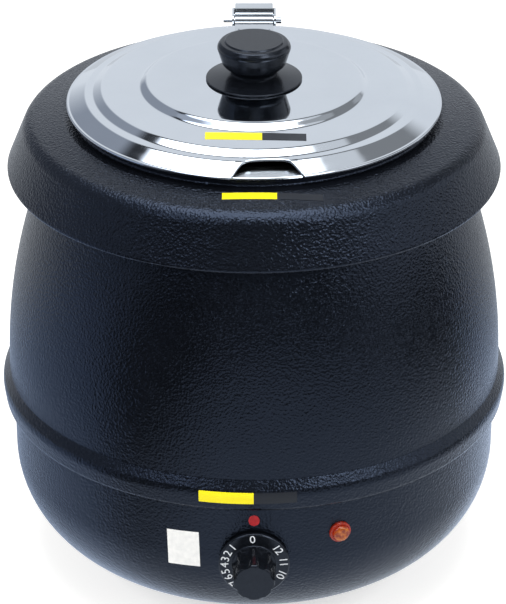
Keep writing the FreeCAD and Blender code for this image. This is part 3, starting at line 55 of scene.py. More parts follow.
# The solids' own sizes that the spun surfaces follow
BAND_R, BAND_Z = 170.0, 131.0
BOWL_R = 163.0
BARREL_R, BARREL_KNEE_Z, BARREL_CURVE = 165.5, 212.0, 376.0
RIM_R, RIM_HOLE_R, RIM_Z = 124.0, 112.5, 320.0
SHELL_WALL = 1.0
LAND_R, LAND_Z, NECK_R, LIP_Z, MOUTH_R = 125.0, 322.2, 117.5, 328.2, 108.0
SHOULDER_R, SHOULDER_Z, SKIRT_R, SKIRT_Z, SKIRT_HEM = 148.8, 317.3, 162.7, 283.7, 4.0
COLLAR_WALL = 1.2
LIP_FALL = math.tan(math.radians(8.0))
POT_R, POT_FLANGE_R, POT_BOTTOM_Z, POT_WALL = 105.3, 120.3, 69.0, 0.8
FLANGE_Z = LIP_Z + 0.1
FLANGE_EDGE_Z = FLANGE_Z - (POT_FLANGE_R - NECK_R) * LIP_FALL
LID_R, LID_WALL, LID_EDGE, LID_ROLL = 122.0, 0.8, 1.6, 1.1
BRIM_Z = FLANGE_EDGE_Z + POT_WALL + 0.35 + LID_WALL
LEDGE_Z, RING_Z, LID_TOP_Z = BRIM_Z + 5.4, BRIM_Z + 9.1, BRIM_Z + 13.6
NOTCH_IN_R, NOTCH_HALF, NOTCH_OUT_HALF, NOTCH_ROUND = 106.5, 14.5, 24.5, 6.0
NOTCH_ANGLE = math.radians(4.0)
NOTCH_SPAN, NOTCH_STEP = 14.0, 0.2   # degrees to each side of the notch with close points, and their step
LID_KEPT_R = LID_R - 22.0            # outside this radius the lid is drawn in to follow the notch
HUB_Z = LID_TOP_Z + 4.1
KNOB_TOP_Z = HUB_Z + 23.0
DIAL_Y, DIAL_Z, DIAL_R, DIAL_THICK = -164.0, 78.0, 22.8, 3.5
DIAL_POCKET_R, DIAL_POCKET = 9.48, 2.75
GRIP_R, GRIP_END = 13.2, 25.5
DIAL_TURNS = 560
FLUTES, FLUTE_R, FLUTE_DEPTH = 8, 6.0, 1.5
FLUTE_START, FLUTE_RUNOUT = 1.0, 0.5   # height over the skirt where a flute starts, and grows to full depth
NUMBER_RING, NUMBER_SIZE, NUMBER_SPACING = 19.0, 7.6, 0.9
NUMBER_HALF_THICK, NUMBER_LIFT = 0.04, 0.05
NUMBER_TURNS = [3, 46, 63, 77, 91, 106, 120, 135, 155, 200, 245, 276, 305]   # degrees, for 0 to 12
BAND_LINE = [(163.2, BAND_Z - 12.6, 0), (BAND_R - 1.2, BAND_Z - 12.6, 4), (BAND_R + 0.5, BAND_Z, 14),
             (BAND_R - 0.6, BAND_Z + 3, 3), (BARREL_R, BAND_Z + 9, 2)]
STRIP_LEAN = math.tan(math.radians(2.0))
FILM_TOP, FILM_UNDER, FILM_POINTS = 0.12, 0.03, (60, 12)   # a film's two sides over its ground, its points
LABEL_TURN, LABEL_Z = -16.0, 83.0      # the label's middle, degrees round the front and height
LABEL_LEAN, LABEL_RISE = 0.011, 0.12   # degrees it leans per millimetre up, millimetres it rises per degree
INDEX_Z, INDEX_HALF_HEIGHT, INDEX_HALF_TURN = 108.3, 4.1, 1.25
LAMP_ANGLE, LAMP_Z = math.radians(19.7), 94.5
LAMP_WAY = np.array([math.sin(LAMP_ANGLE), -math.cos(LAMP_ANGLE), 0.0])
LAMP_PLACE = LAMP_WAY * BOWL_R + UP * LAMP_Z
LENS_RING_R, LENS_RING, LENS_HEIGHT, LENS_TURNS = 7.2, 1.8, 5.0, 96


def rounded_line(corners):
    """Line through (across, height, radius) corners: straight runs, and at each corner the arc
    centre + radius * (cos a, sin a) that both runs touch. A radius shrinks where its runs are short."""
    points = np.array([c[:2] for c in corners], float)
    radii = [c[2] for c in corners]
    parts = [points[:1]]
    for i in range(1, len(corners) - 1):
        back, ahead = points[i - 1] - points[i], points[i + 1] - points[i]
        lengths = np.linalg.norm(back), np.linalg.norm(ahead)
        back, ahead = back / lengths[0], ahead / lengths[1]
        half = np.arccos(np.clip(back @ ahead, -1, 1)) / 2
        radius = radii[i]
        arc = points[i][None]
        if radius > 0:
            room = min(run * radius / (radius + radii[j]) for run, j in zip(lengths, (i - 1, i + 1)))
            radius = min(radius, 0.999 * room * np.tan(half))
            middle = back + ahead
            centre = points[i] + middle / np.linalg.norm(middle) * radius / np.sin(half)
            start, end = [points[i] + way * radius / np.tan(half) - centre for way in (back, ahead)]
            first = np.arctan2(start[1], start[0])
            turn = (np.arctan2(end[1], end[0]) - first + np.pi) % (2 * np.pi) - np.pi
            steps = max(5, math.ceil(abs(np.degrees(turn)) / ARC_STEP),
                        math.ceil(abs(turn) * radius / ARC_RUN))
            angles = first + turn * np.linspace(0, 1, steps)
            arc = centre + radius * np.stack([np.cos(angles), np.sin(angles)], -1)
        parts += [run_points(parts[-1][-1], arc[0]), arc]
    parts += [run_points(parts[-1][-1], points[-1]), points[-1:]]
    return np.concatenate(parts)


def run_points(start, end):
    """Points inside a straight run, a + (b - a) * t, close together at its two ends so that the
    shading turns at the corners and not along the run."""
    shares = np.array([0.02, 0.1, 0.3, 0.5, 0.7, 0.9, 0.98])
    return start + (end - start) * shares[:, None]


def sheet_loop(line, wall):
    """Closed loop round a sheet: the line, and the line moved along its left normals by the wall."""
    run = np.gradient(line, axis=0)
    run /= np.linalg.norm(run, axis=1)[:, None]
    inner = line + wall * np.stack([-run[:, 1], run[:, 0]], -1)
    return np.concatenate([line, inner[::-1]])


def spun(line, turns=TURNS):
    """Surface of revolution: the point (r, h) of the line goes to (r cos a, r sin a, h)."""
    angle = np.linspace(0, 2 * np.pi, turns, endpoint=False)
    across, height = line[:, 0], line[:, 1]
    return np.stack([np.outer(np.cos(angle), across), np.outer(np.sin(angle), across),
                     np.broadcast_to(height, (turns, len(line)))], -1)


def set_along(grid, centre, way):
    """Turns a grid made round +Z so that +Z lies along a way, keeping its top side up, and moves it."""
    way = np.array(way, float)
    side = np.cross(UP, way)
    side /= np.linalg.norm(side)
    lift = np.cross(way, side)
    return grid[..., :1] * side + grid[..., 1:2] * lift + grid[..., 2:] * way + np.array(centre, float)


def grid_faces(rows, columns, close_rows, close_columns):
    """Quads of a grid of points, joined end to end along a direction that is closed."""
    i = np.arange(rows if close_rows else rows - 1)[:, None]
    j = np.arange(columns if close_columns else columns - 1)[None]
    i2, j2 = (i + 1) % rows, (j + 1) % columns
    return np.stack([i * columns + j, i2 * columns + j, i2 * columns + j2, i * columns + j2],
                    -1).reshape(-1, 4)


def piece(name, grid, close_rows, close_columns, finish, body, slot, stands_for=()):
    """One closed object from a grid of millimetre points. Doubles at poles and seams are merged, and the
    faces are turned outwards."""
    faces = grid_faces(grid.shape[0], grid.shape[1], close_rows, close_columns)
    mesh = bpy.data.meshes.new(name)
    mesh.from_pydata((grid.reshape(-1, 3) * MM).tolist(), [], faces.tolist())
    work = bmesh.new()
    work.from_mesh(mesh)
    bmesh.ops.remove_doubles(work, verts=work.verts, dist=MERGE)
    bmesh.ops.dissolve_degenerate(work, edges=work.edges, dist=MERGE)
    bmesh.ops.recalc_face_normals(work, faces=work.faces)
    work.to_mesh(mesh)
    work.free()
    settle(name, mesh, finish, body, stands_for)


def settle(name, mesh, finish, body, stands_for=()):
    """Puts a mesh into the scene on its body, smooth, with its finish."""
    mesh.polygons.foreach_set("use_smooth", np.ones(len(mesh.polygons), bool))
    mesh.set_sharp_from_angle(angle=SHARP_ANGLE)
    mesh.materials.append(finish)
    thing = bpy.data.objects.new(name, mesh)
    bpy.context.scene.collection.objects.link(thing)
    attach(thing, body)
    if stands_for:
        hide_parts(*stands_for)


def linear(code):
    """sRGB hex colour as linear red, green, blue and 1."""
    value = np.array([int(code[i:i + 2], 16) for i in (1, 3, 5)]) / 255
    value = np.where(value <= 0.04045, value / 12.92, ((value + 0.055) / 1.055) ** 2.4)
    return (*value.tolist(), 1.0)


def add(tree, kind, inputs=None, stops=(), **settings):
    """Adds a node with its settings. Each input is a value or another node's output, and each stop of a
    colour ramp is a (position, hex colour)."""
    made = tree.nodes.new(kind)
    for key, value in settings.items():
        setattr(made, key, value)
    for i, (position, code) in enumerate(stops):
        made.color_ramp.elements[i].position = position
        made.color_ramp.elements[i].color = linear(code)
    for key, value in (inputs or {}).items():
        if isinstance(value, bpy.types.NodeSocket):
            tree.links.new(value, made.inputs[key])
        else:
            made.inputs[key].default_value = value
    return made


def new_finish(name):
    """An empty material, its tree, and its Object coordinates."""
    finish = bpy.data.materials.new(name)
    finish.use_nodes = True
    finish.node_tree.nodes.clear()
    place = add(finish.node_tree, "ShaderNodeTexCoord").outputs["Object"]
    return finish, finish.node_tree, place


def per_mm(size):
    """Texture scale for a pattern whose cells are this many millimetres across."""
    return 1 / (size * MM)


def grained(name, dark, light, grain, rough, relief, **sockets):
    """Finish with cloudy colour between two tones, roughness varied about a value, and a fine relief.
    grain is the pattern's size and relief its height, both in millimetres. The real grain of most of
    these finishes is finer, and is drawn as coarse as it needs to show."""
    finish, tree, place = new_finish(name)
    cloud = add(tree, "ShaderNodeTexNoise", {"Vector": place, "Scale": per_mm(grain * 6), "Detail": 3.0})
    fine = add(tree, "ShaderNodeTexNoise", {"Vector": place, "Scale": per_mm(grain), "Detail": 4.0})
    tone = add(tree, "ShaderNodeValToRGB", {"Fac": cloud.outputs["Fac"]}, [(0.3, dark), (0.7, light)])
    gloss = add(tree, "ShaderNodeMapRange", {"Value": fine.outputs["Fac"], "From Min": 0.3, "From Max": 0.7,
                                             "To Min": rough * 0.85, "To Max": rough * 1.15})
    bump = add(tree, "ShaderNodeBump", {"Height": fine.outputs["Fac"], "Distance": relief * MM})
    sockets = {key.replace("_", " "): value for key, value in sockets.items()}
    shader = add(tree, "ShaderNodeBsdfPrincipled",
                 {"Base Color": tone.outputs["Color"], "Roughness": gloss.outputs["Result"],
                  "Normal": bump.outputs["Normal"], **sockets})
    add(tree, "ShaderNodeOutputMaterial", {"Surface": shader.outputs[0]})
    return finish


def hammered_paint():
    """Hammer-finish enamel, sprayed thick and baked: it draws up into low rounded pebbles about 1.6 mm
    across, so each light breaks into a scatter of small glints on a near-black ground."""
    finish, tree, place = new_finish("hammer_finish_enamel_sprayed_black")
    pebble = add(tree, "ShaderNodeTexNoise", {"Vector": place, "Scale": per_mm(1.6), "Detail": 1.0,
                                              "Roughness": 0.45})
    cloud = add(tree, "ShaderNodeTexNoise", {"Vector": place, "Scale": per_mm(30), "Detail": 2.0})
    bump = add(tree, "ShaderNodeBump", {"Height": pebble.outputs["Fac"], "Distance": 0.5 * MM})
    tone = add(tree, "ShaderNodeValToRGB", {"Fac": cloud.outputs["Fac"]}, [(0, "#06070a"), (1, "#0d0f14")])
    gloss = add(tree, "ShaderNodeMapRange", {"Value": pebble.outputs["Fac"], "From Min": 0.3,
                                             "From Max": 0.7, "To Min": 0.26, "To Max": 0.18})
    shader = add(tree, "ShaderNodeBsdfPrincipled",
                 {"Base Color": tone.outputs["Color"], "Roughness": gloss.outputs["Result"],
                  "Normal": bump.outputs["Normal"], "Specular IOR Level": 0.5,
                  "Specular Tint": linear("#c2d6fa")})
    add(tree, "ShaderNodeOutputMaterial", {"Surface": shader.outputs[0]})
    return finish


def polished_steel(name, bright, rough, line):
    """Stainless sheet, pressed and polished on a wheel: near a mirror, with faint rings of polishing marks
    round the axis. line is the rings' spacing in millimetres, drawn coarse enough to show."""
    finish, tree, place = new_finish(name)
    rings = add(tree, "ShaderNodeTexWave", {"Vector": place, "Scale": per_mm(line) / 20, "Distortion": 1.5,
                                            "Detail": 3.0}, wave_type="RINGS", rings_direction="Z")
    smear = add(tree, "ShaderNodeTexNoise", {"Vector": place, "Scale": per_mm(40), "Detail": 3.0})
    mixed = add(tree, "ShaderNodeMath", {0: rings.outputs["Fac"], 1: smear.outputs["Fac"]},
                operation="MULTIPLY")
    gloss = add(tree, "ShaderNodeMapRange", {"Value": mixed.outputs["Value"], "To Min": rough * 0.8,
                                             "To Max": rough * 1.5})
    tone = add(tree, "ShaderNodeValToRGB", {"Fac": smear.outputs["Fac"]}, [(0, bright), (1, "#e4e8ec")])
    bump = add(tree, "ShaderNodeBump", {"Height": rings.outputs["Fac"], "Distance": 0.0008 * MM})
    shader = add(tree, "ShaderNodeBsdfPrincipled",
                 {"Base Color": tone.outputs["Color"], "Metallic": 1.0,
                  "Roughness": gloss.outputs["Result"], "Normal": bump.outputs["Normal"]})
    add(tree, "ShaderNodeOutputMaterial", {"Surface": shader.outputs[0]})
    return finish


def amber_lens():
    """Amber polycarbonate, moulded with a faceted inside: the ring is deep red-orange, and the face has
    painted highlights, streaks of lighter amber where the facets, about 3 mm across, catch the light. Ring
    and face are told apart by the distance from the lamp's axis, the length of the cross product with its
    direction."""
    finish, tree, place = new_finish("polycarbonate_moulded_amber")
    off = add(tree, "ShaderNodeVectorMath", {0: place, 1: tuple(LAMP_PLACE * MM)}, operation="SUBTRACT")
    aside = add(tree, "ShaderNodeVectorMath", {0: off.outputs[0], 1: tuple(LAMP_WAY)},
                operation="CROSS_PRODUCT")
    reach = add(tree, "ShaderNodeVectorMath", {0: aside.outputs[0]}, operation="LENGTH")
    ring = add(tree, "ShaderNodeMapRange", {"Value": reach.outputs["Value"], "From Min": 4.6 * MM,
                                            "From Max": 5.6 * MM})
    facet_relief_and_highlights = add(tree, "ShaderNodeTexNoise", {"Vector": place, "Scale": per_mm(3.0), "Detail": 1.0})
    # Painted highlights: the face's lighter amber streaks follow the facet noise, which also gives the
    # facets' relief
    face = add(tree, "ShaderNodeValToRGB", {"Fac": facet_relief_and_highlights.outputs["Fac"]},
               [(0.38, "#8e3408"), (0.68, "#cf7426")])
    colour = add(tree, "ShaderNodeMixRGB", {"Fac": ring.outputs["Result"], "Color1": face.outputs["Color"],
                                            "Color2": linear("#a82a0c")})
    bump = add(tree, "ShaderNodeBump", {"Height": facet_relief_and_highlights.outputs["Fac"], "Distance": 0.1 * MM})
    shader = add(tree, "ShaderNodeBsdfPrincipled",
                 {"Base Color": colour.outputs[0], "Roughness": 0.12, "IOR": 1.58,
                  "Transmission Weight": 0.25, "Normal": bump.outputs["Normal"]})
    add(tree, "ShaderNodeOutputMaterial", {"Surface": shader.outputs[0]})
    return finish


def strip_film(name, edge):
    """Printed vinyl strip: flat yellow to the left of an edge, given in millimetres across, and flat
    charcoal to the right of it, under a thin clear gloss."""
    finish, tree, place = new_finish("vinyl_printed_" + name)
    across = add(tree, "ShaderNodeSeparateXYZ", {"Vector": place}).outputs["X"]
    right = add(tree, "ShaderNodeMath", {0: across, 1: edge * MM}, operation="GREATER_THAN")
    tone = add(tree, "ShaderNodeMixRGB", {"Fac": right.outputs[0], "Color1": linear("#f4e414"),
                                          "Color2": linear("#1f2228")})
    shader = add(tree, "ShaderNodeBsdfPrincipled",
                 {"Base Color": tone.outputs[0], "Roughness": 0.35, "Specular IOR Level": 0.3})
    add(tree, "ShaderNodeOutputMaterial", {"Surface": shader.outputs[0]})
    return finish


enamel = hammered_paint()
# Lid: a bright mirror. Hinge: a mirror with streaks. Pot: a soft grey mirror that blurs the room.
lid_steel = polished_steel("stainless_steel_pressed_polished", "#d9dde2", 0.06, 1.2)
strip_steel = polished_steel("stainless_strip_folded_polished", "#c9cccf", 0.12, 0.8)
pot_steel = polished_steel("stainless_steel_deep_drawn", "#c4c8ca", 0.2, 1.6)
# Knobs and guard: deep black with a soft cool gloss along the rounded edges
phenolic = grained("phenolic_moulded_satin_black", "#0b0d11", "#12151a", 0.5, 0.2, 0.002,
                   Specular_IOR_Level=0.5, Specular_Tint=linear("#d8e2f4"))
# Feet: dull black that shows no lights
rubber = grained("rubber_moulded_black", "#131313", "#1e1e1d", 0.6, 0.8, 0.02)
# Water pan, its rivets and the heat shield: pale metal with a wide, blurred sheen
aluminium = grained("aluminium_pressed_mill_finish", "#b9bcbe", "#cfd1d2", 0.4, 0.34, 0.004, Metallic=1.0)
# Small steel parts, most of them screws and nuts: grey metal, a little warm, with a dull sheen
zinc = grained("zinc_plated_steel_turned", "#a9abaa", "#c6c7c3", 0.3, 0.38, 0.004, Metallic=1.0)
# Heater: brown-grey metal, dulled by heat
sheath = grained("steel_sheath_drawn_oxidised", "#5b554f", "#7a726a", 0.5, 0.5, 0.006, Metallic=1.0)
# Thermostat and terminal housings, gland and lamp nut: charcoal, half matt
nylon = grained("nylon_moulded_black", "#161616", "#222222", 0.5, 0.5, 0.01)
# Sensor tube and earth stud: clear red and yellow metals, slightly blurred
copper = grained("copper_tube_drawn", "#a8643f", "#c58058", 0.4, 0.3, 0.004, Metallic=1.0)
brass = grained("brass_turned", "#b08d3e", "#cfae5c", 0.3, 0.3, 0.003, Metallic=1.0)
amber = amber_lens()
# Bulb: glossy glass that lets most of the light through, a little warm
bulb_glass = grained("glass_blown_lamp", "#f6d9c0", "#ffe9d8", 1.0, 0.05, 0.001,
                     Transmission_Weight=0.6, IOR=1.5)
# Prints and label: flat clean colours, hardly glossy, that stand out from the black
number_ink = grained("ink_pad_printed_white", "#d9dee6", "#eef1f5", 0.3, 0.6, 0.002)
label_film = grained("vinyl_calendered_white", "#e4e5e4", "#f2f2f0", 0.6, 0.45, 0.002)
index_ink = grained("ink_screen_printed_red", "#960f18", "#b81a22", 0.4, 0.5, 0.002)
# Leads: strong colours with a soft, silky sheen
wire_red = grained("silicone_sleeve_extruded_red", "#7d2417", "#96301f", 0.4, 0.5, 0.01)
wire_blue = grained("silicone_sleeve_extruded_blue", "#1f3b7d", "#2a4b96", 0.4, 0.5, 0.01)
wire_green = grained("silicone_sleeve_extruded_green", "#3f7d24", "#8a9a20", 0.4, 0.5, 0.01)

slot_finish = {
    "black_paint": enamel, "stainless": pot_steel, "hinge_steel": strip_steel, "aluminium": aluminium,
    "phenolic": phenolic, "plated_steel": zinc, "heater_sheath": sheath, "moulding": nylon,
    "copper": copper, "brass": brass, "amber_lens": amber, "lamp_glass": bulb_glass, "rubber": rubber,
    "wire_red": wire_red, "wire_blue": wire_blue, "wire_green": wire_green,
}
for part in frame["record"]["subparts"]:
    mesh = frame["nodes"][part["node"]].data
    mesh.materials.clear()
    mesh.materials.append(slot_finish[part["material_slot"]])


def turned_solid(corners):
    """Grid of a solid turned round +Z from a line that starts and ends on the axis, and how it closes."""
    return spun(rounded_line(corners)), True, False


def turned_sheet(corners, wall):
    """Grid of a sheet turned round +Z from the closed loop round the sheet, and how it closes."""
    return spun(sheet_loop(rounded_line(corners), wall)), True, True


def make_barrel():
    """Rolled band and barrel: one line turned round the axis, as sheet."""
    line = BAND_LINE + [(BARREL_R, BARREL_KNEE_Z, BARREL_CURVE), (RIM_R, RIM_Z, 3), (RIM_HOLE_R, RIM_Z, 0)]
    piece("barrel_skin", *turned_sheet(line, SHELL_WALL), enamel, "base", "black_paint", ["upper_shell"])


def make_collar():
    """Lift-off collar: one line turned round the axis, as sheet, through the hem, skirt, rounded shoulder,
    seat land, neck and sloping lip."""
    line = [(SKIRT_R - SKIRT_HEM, SKIRT_Z, 0), (SKIRT_R, SKIRT_Z, 2), (SHOULDER_R, SHOULDER_Z, 12),
            (LAND_R, LAND_Z, 3), (NECK_R, LAND_Z, 1.6), (NECK_R, LIP_Z, 1.6),
            (MOUTH_R, LIP_Z + (NECK_R - MOUTH_R) * LIP_FALL, 0)]
    piece("collar_skin", *turned_sheet(line, COLLAR_WALL), enamel, "collar", "black_paint", ["collar"])


def make_pot():
    """Deep-drawn pot: one line turned round the axis, as sheet, with a flange that falls outward over the
    collar's lip and turns down at its edge."""
    mouth_z = FLANGE_Z + (NECK_R - POT_R) * LIP_FALL
    line = [(0, POT_BOTTOM_Z, 0), (POT_R, POT_BOTTOM_Z, 18), (POT_R, mouth_z, 2),
            (POT_FLANGE_R - 1.4, FLANGE_EDGE_Z + 1.4 * LIP_FALL, 0.4),
            (POT_FLANGE_R - 0.8, FLANGE_EDGE_Z - 0.6, 0)]
    piece("pot_skin", *turned_sheet(line, POT_WALL), pot_steel, "inset", "stainless", ["inset"])


def lid_line():
    """The lid's upper side from the axis to the turned-down edge."""
    return rounded_line([(0, LID_TOP_Z, 0), (LID_R - 52.4, LID_TOP_Z, 5), (LID_R - 47.8, RING_Z + 0.5, 5),
                         (LID_R - 23.4, RING_Z, 5), (LID_R - 17, LEDGE_Z + 0.5, 5),
                         (LID_R - 12.5, LEDGE_Z, 5), (LID_R - 1.8, BRIM_Z, 0.6), (LID_R, BRIM_Z, 1),
                         (LID_R, BRIM_Z - LID_EDGE, 0)])


def notch_reach(angle):
    """Lid's reach at an angle a from the notch's middle: the notch's straight inner edge, d / cos a, its
    slanted sides, c / (k cos a - sin a), rounded where they meet, and no more than the lid's radius."""
    inner = NOTCH_IN_R / np.cos(angle)
    lean = (NOTCH_OUT_HALF - NOTCH_HALF) / (LID_R - NOTCH_IN_R)
    gap = np.maximum(lean * np.cos(angle) - np.abs(np.sin(angle)), 0.01)
    side = (lean * NOTCH_IN_R - NOTCH_HALF) / gap
    return np.minimum((inner + side + np.hypot(inner - side, NOTCH_ROUND)) / 2, LID_R)


def make_lid():
    """Pressed lid: its line turned round the axis. At each angle the line's outer stretch is drawn in,
    along itself, to a roll's width inside the notch's reach, and the turned-down edge follows there."""
    line = lid_line()
    run = np.gradient(line, axis=0)
    run /= np.linalg.norm(run, axis=1)[:, None]
    under = line + LID_WALL * np.stack([run[:, 1], -run[:, 0]], -1)
    along = np.concatenate([[0], np.cumsum(np.linalg.norm(np.diff(line, axis=0), axis=1))])
    close = np.radians(np.arange(-NOTCH_SPAN, NOTCH_SPAN, NOTCH_STEP))
    angle = np.concatenate([close, np.linspace(close[-1], 2 * np.pi + close[0], TURNS)[1:-1]])
    reach = notch_reach((angle + np.pi) % (2 * np.pi) - np.pi)
    kept, roll = np.interp([LID_KEPT_R, LID_R - LID_ROLL], line[:, 0], along)
    end = np.interp(reach - LID_ROLL, line[:, 0], along)[:, None]
    drawn = np.where(along < kept, along, kept + (along - kept) * (end - kept) / (roll - kept))
    turn = (angle + NOTCH_ANGLE - np.pi / 2)[:, None]
    sides = []
    for side in (line, under):
        rolled = [np.interp(end, along, way) + way - np.interp(roll, along, way) for way in side.T]
        across, height = [np.where(along > roll, edge, np.interp(drawn, along, way))
                          for edge, way in zip(rolled, side.T)]
        sides.append(np.stack([across * np.cos(turn), across * np.sin(turn), height], -1))
    grid = np.concatenate([sides[0], sides[1][:, ::-1]], 1)
    piece("lid_skin", grid, True, True, lid_steel, "lid", "stainless", ["lid"])


def make_lid_knob():
    """Mushroom knob with a raised cap, and the thin dished guard under it, each a line turned round the
    axis."""
    edge_z = LID_TOP_Z + 0.3
    guard = [(0, LID_TOP_Z, 0), (9, LID_TOP_Z, 0), (9, HUB_Z - 2, 1), (31.2, edge_z, 0.5),
             (31.2, edge_z + 1, 0.5), (16.2, HUB_Z, 2), (0, HUB_Z, 0)]
    piece("guard_skin", *turned_solid(guard), phenolic, "lid", "phenolic", ["knob_guard"])
    knob = [(0, HUB_Z, 0), (15.2, HUB_Z, 0), (15.0, HUB_Z + 2, 1.5), (20.6, HUB_Z + 7, 6),
            (24.2, HUB_Z + 18.7, 3.8), (21.8, KNOB_TOP_Z - 1.2, 2), (19.2, KNOB_TOP_Z - 0.9, 0.3),
            (18.6, KNOB_TOP_Z, 0.6), (0, KNOB_TOP_Z, 0)]
    piece("lid_knob_skin", *turned_solid(knob), phenolic, "lid", "phenolic", ["lid_knob"])


def make_dial():
    """Numbered skirt and fluted grip: the outline r(h) turned round the knob's axis, and along the grip cut
    back to the near side of each flute's circle, c cos d - sqrt(f^2 - c^2 sin^2 d)."""
    outline = rounded_line([(0, DIAL_POCKET, 0), (DIAL_POCKET_R, DIAL_POCKET, 0), (DIAL_POCKET_R, 0, 0),
                            (DIAL_R - 0.6, 0, 0), (DIAL_R, 0.8, 0), (DIAL_R, DIAL_THICK - 0.8, 0.7),
                            (DIAL_R - 0.8, DIAL_THICK, 0.7), (GRIP_R + 0.8, DIAL_THICK, 1),
                            (GRIP_R, GRIP_END, 1.6), (0, GRIP_END, 0)])
    angle = np.linspace(0, 2 * np.pi, DIAL_TURNS, endpoint=False)[:, None]
    across, height = outline[:, 0], outline[:, 1]
    pitch = 2 * np.pi / FLUTES
    off = (angle - np.pi / 2) % pitch - pitch / 2
    circle = GRIP_R + FLUTE_R - FLUTE_DEPTH
    inside = np.maximum(FLUTE_R ** 2 - (circle * np.sin(off)) ** 2, 0)
    cut = np.where(inside > 0, circle * np.cos(off) - np.sqrt(inside), np.inf)
    share = np.clip((height - DIAL_THICK - FLUTE_START) / FLUTE_RUNOUT, 0, 1)
    radius = across + (np.minimum(across, cut) - across) * share
    grid = np.stack([radius * np.cos(angle), radius * np.sin(angle),
                     np.broadcast_to(height, radius.shape)], -1)
    grid = set_along(grid, (0, DIAL_Y, DIAL_Z), (0, -1, 0))
    piece("dial_skin", grid, True, False, phenolic, "control", "phenolic", ["control_knob"])


def make_numerals():
    """White numbers 0 to 12 round the dial's face: each is set on its own middle, moved up to the ring and
    turned about the dial's axis, so that it stands outward."""
    for number, turn in enumerate(NUMBER_TURNS):
        digits = bpy.data.curves.new(f"number_{number}", "FONT")
        digits.body = str(number)
        digits.size = NUMBER_SIZE
        digits.space_character = NUMBER_SPACING
        digits.extrude = NUMBER_HALF_THICK
        digits.align_x, digits.align_y = "CENTER", "CENTER"
        holder = bpy.data.objects.new(digits.name, digits)
        bpy.context.scene.collection.objects.link(holder)
        mesh = bpy.data.meshes.new_from_object(holder)
        bpy.data.objects.remove(holder)
        bpy.data.curves.remove(digits)
        flat = np.empty(len(mesh.vertices) * 3)
        mesh.vertices.foreach_get("co", flat)
        flat = flat.reshape(-1, 3)
        flat[:, :2] -= (flat[:, :2].max(0) + flat[:, :2].min(0)) / 2
        flat[:, 1] += NUMBER_RING
        sine, cosine = math.sin(math.radians(turn)), math.cos(math.radians(turn))
        across = flat[:, 0] * cosine - flat[:, 1] * sine
        height = flat[:, 0] * sine + flat[:, 1] * cosine
        depth = DIAL_Y - DIAL_THICK - NUMBER_LIFT - flat[:, 2]
        place = np.stack([across, depth, DIAL_Z + height], -1) * MM
        mesh.vertices.foreach_set("co", place.ravel())
        mesh.materials.clear()
        settle(f"dial_number_{number}", mesh, number_ink, "control")


def make_lens():
    """Pilot lens: the line of a flat ring and a low dome, turned round the lamp's own axis."""
    line = [(0, 0, 0), (LENS_RING_R, 0, 0), (LENS_RING_R, LENS_RING, 0.9), (6.0, LENS_RING, 0.4),
            (5.4, LENS_HEIGHT, 3), (0, LENS_HEIGHT, 0)]
    grid = set_along(spun(rounded_line(line), LENS_TURNS), LAMP_PLACE, LAMP_WAY)
    piece("lens_skin", grid, True, False, amber, "base", "amber_lens", ["pilot_lamp_lens"])


def film(name, place, across, along, finish, body, slot):
    """Thin film lying on a surface: place(u, v, lift) gives its points. Each row runs along the upper side
    and back along the lower one, and a row midway between them closes each end."""
    u, v = np.meshgrid(np.linspace(*across, FILM_POINTS[0]), np.linspace(*along, FILM_POINTS[1]),
                       indexing="ij")
    sides = np.concatenate([place(u, v, FILM_TOP), place(u, v, FILM_UNDER)[:, ::-1]], 1)
    middle = (FILM_TOP + FILM_UNDER) / 2
    ends = [np.concatenate([row, row[:, ::-1]], 1) for row in
            (place(u[:1], v[:1], middle), place(u[-1:], v[-1:], middle))]
    grid = np.concatenate([ends[0], sides, ends[1]])
    piece(name, grid, False, True, finish, body, slot)


def on_bowl(u, v, lift):
    """u degrees round the front and v up: ((R + lift) sin u, -(R + lift) cos u, v)."""
    angle = np.radians(u)
    return np.stack([(BOWL_R + lift) * np.sin(angle), -(BOWL_R + lift) * np.cos(angle), v], -1)


def on_lid(u, v, lift):
    """u across and v front to back, v sheared by the strip's lean times u, at the height of the lid's line
    at that distance from the axis."""
    line = lid_line()
    v = v - STRIP_LEAN * u
    return np.stack([u, v, np.interp(np.hypot(u, v), line[:, 0], line[:, 1]) + lift], -1)


def on_collar(u, v, lift):
    """u across and v front to back, on the collar's top slope: the height goes straight from the land's to
    the shoulder's with the distance from the axis."""
    share = (np.hypot(u, v) - LAND_R) / (SHOULDER_R - LAND_R)
    return np.stack([u, v, LAND_Z + (SHOULDER_Z - LAND_Z) * share + lift], -1)


def on_band(u, v, lift):
    """u degrees round the front and v up: (r sin u, -r cos u, v), r being the band's line at v, and lift."""
    line = rounded_line(BAND_LINE)
    angle, reach = np.radians(u), np.interp(v, line[:, 1], line[:, 0]) + lift
    return np.stack([reach * np.sin(angle), -reach * np.cos(angle), v], -1)


def leaning_label(u, v, lift):
    """A place on the bowl, sheared both ways about the label's middle, as it is stuck on askew."""
    return on_bowl(u - (v - LABEL_Z) * LABEL_LEAN, v + (u - LABEL_TURN) * LABEL_RISE, lift)


def index_drop(u, v, lift):
    """A rounded spot on the bowl: the width at height v is that of an ellipse, sqrt(1 - s^2)."""
    share = np.clip((v - INDEX_Z) / INDEX_HALF_HEIGHT, -1, 1)
    return on_bowl(u * np.sqrt(1 - share ** 2), v, lift)


